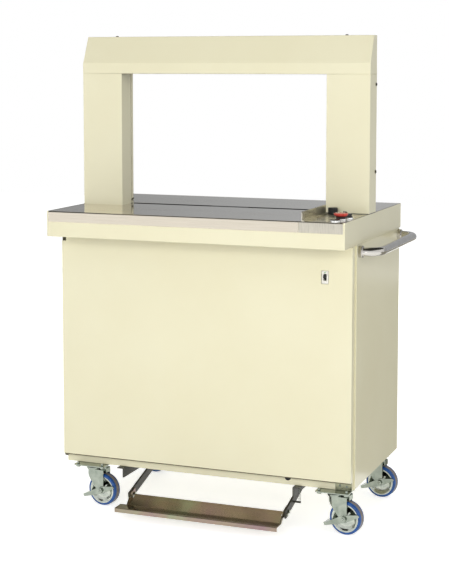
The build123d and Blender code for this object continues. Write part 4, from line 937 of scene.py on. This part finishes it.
cloths = {"half": 7.0, "foot": 0.05, "tall": 3.4, "back": 4.6,
          "backdrop": ((0.31, "9C9EA0"), (0.43, "B4B6B9")),
          "carpetX": (0.46, 5.5), "carpetFront": 0.4, "carpetTop": 0.004, "carpet": "A3A094",
          "ceilingHalf": 4.6, "ceilingAt": 4.1, "ceiling": "3A3A36"}
cards = {"low": 0.01, "high": 0.9, "black": "2A2A27", "white": "FFFFFF", "strength": 2.6,
         "flags": {"leftFlag": ((-3.2, -1.7), (-3.2, -0.8)), "leftRearFlag": ((-3.2, 0.2), (-3.2, 1.5)),
                   "frontFlag": ((0.2, -3.7), (0.75, -3.7))},
         "strips": {"leftStrip": ((-3.2, -0.7), (-3.2, -0.1)),
                    "frontStrip": ((0.85, -3.7), (1.3, -3.7))}}


def evenStops(colour):
    return (0, colour), (1, colour)


def addCard(name, ends, colour, strength=1.0):
    (x0, y0), (x1, y1) = ends
    low, high = cards["low"], cards["high"]
    addReflector(name, ((x0, y0, low), (x1, y1, low), (x1, y1, high), (x0, y0, high)),
                 evenStops(colour), strength)


def addReflectors():
    # grey cloth behind gives the table its grey shine, the dark ceiling its dark edges
    half, foot, tall, back = [cloths[key] for key in ("half", "foot", "tall", "back")]
    addReflector("greyBackdrop", ((-half, back, foot), (half, back, foot), (half, back, tall),
                                  (-half, back, tall)), cloths["backdrop"])
    # grey cloth on the floor behind and to the right, which the side panel and the handle show
    (left, right), front, level = cloths["carpetX"], cloths["carpetFront"], cloths["carpetTop"]
    addReflector("greyCarpet", ((left, front, level), (right, front, level), (right, back, level),
                                (left, back, level)), evenStops(cloths["carpet"]))
    # black cards to the left and in front put dark bars in the forks, the dishes and the handle
    for name, ends in cards["flags"].items():
        addCard(name, ends, cards["black"])
    # bright strips beside the cards, for the white bars in the plated parts
    for name, ends in cards["strips"].items():
        addCard(name, ends, cards["white"], cards["strength"])
    half, level = cloths["ceilingHalf"], cloths["ceilingAt"]
    addReflector("darkCeiling", ((-half, -half, level), (half, -half, level), (half, half, level),
                                 (-half, half, level)), evenStops(cloths["ceiling"]))


def addWorld():
    # soft white light on the object, and plain white behind it
    world = bpy.data.worlds.new("studioWorld")
    bpy.context.scene.world = world
    world.use_nodes = True
    tree = world.node_tree
    soft = tree.nodes["Background"]
    soft.inputs["Color"].default_value = (1, 1, 1, 1)
    soft.inputs["Strength"].default_value = studio["sky"]
    white = addNode(tree, "ShaderNodeBackground", {"Color": (1, 1, 1, 1), "Strength": 1.0})
    seen = addNode(tree, "ShaderNodeLightPath")
    direct = addNode(tree, "ShaderNodeMath", {"operation": "MAXIMUM"},
                     {0: seen.outputs["Is Camera Ray"], 1: seen.outputs["Is Transmission Ray"]})
    either = addNode(tree, "ShaderNodeMath", {"operation": "MAXIMUM"},
                     {0: direct.outputs[0], 1: seen.outputs["Is Glossy Ray"]})
    mix = addNode(tree, "ShaderNodeMixShader",
                  links={0: either.outputs[0], 1: soft.outputs[0], 2: white.outputs[0]})
    tree.links.new(mix.outputs[0], tree.nodes["World Output"].inputs["Surface"])


# place, aimed at, width and height in metres, power in watts
softboxes = {
    "keySoftbox": ((0.7, -4.5, 1.35), (0, 0, 0.75), (2.6, 2.0), 62),
    "topSoftbox": ((0.3, -4.3, 2.45), (0, 0, 0.8), (2.6, 0.6), 26),
    "fillSoftbox": ((3.6, -1.4, 2.0), (0, 0, 0.7), (1.8, 1.8), 19),
    "rearSoftbox": ((-1.2, 4.4, 1.9), (0, 0, 0.8), (2.6, 2.0), 44),
    "leftSoftbox": ((-4.2, 0.6, 1.9), (0, 0, 0.8), (1.8, 1.8), 10),
}


def addLamp(name, place, aim, size, power):
    data = bpy.data.lights.new(name, "AREA")
    data.shape = "RECTANGLE"
    data.size, data.size_y = size
    data.energy = power
    lamp = placeObject(name, data)
    lamp.location = place
    lamp.rotation_euler = (Vector(aim) - Vector(place)).to_track_quat("-Z", "Y").to_euler()
    lamp.visible_glossy = False  # no lamp-shaped glare in the stainless sheets


addCamera()
addStage()
addWorld()
addReflectors()
for name, settings in softboxes.items():
    addLamp(name, *settings)
bpy.context.scene.view_settings.view_transform = "Standard"
print("camera, floor and lights placed")
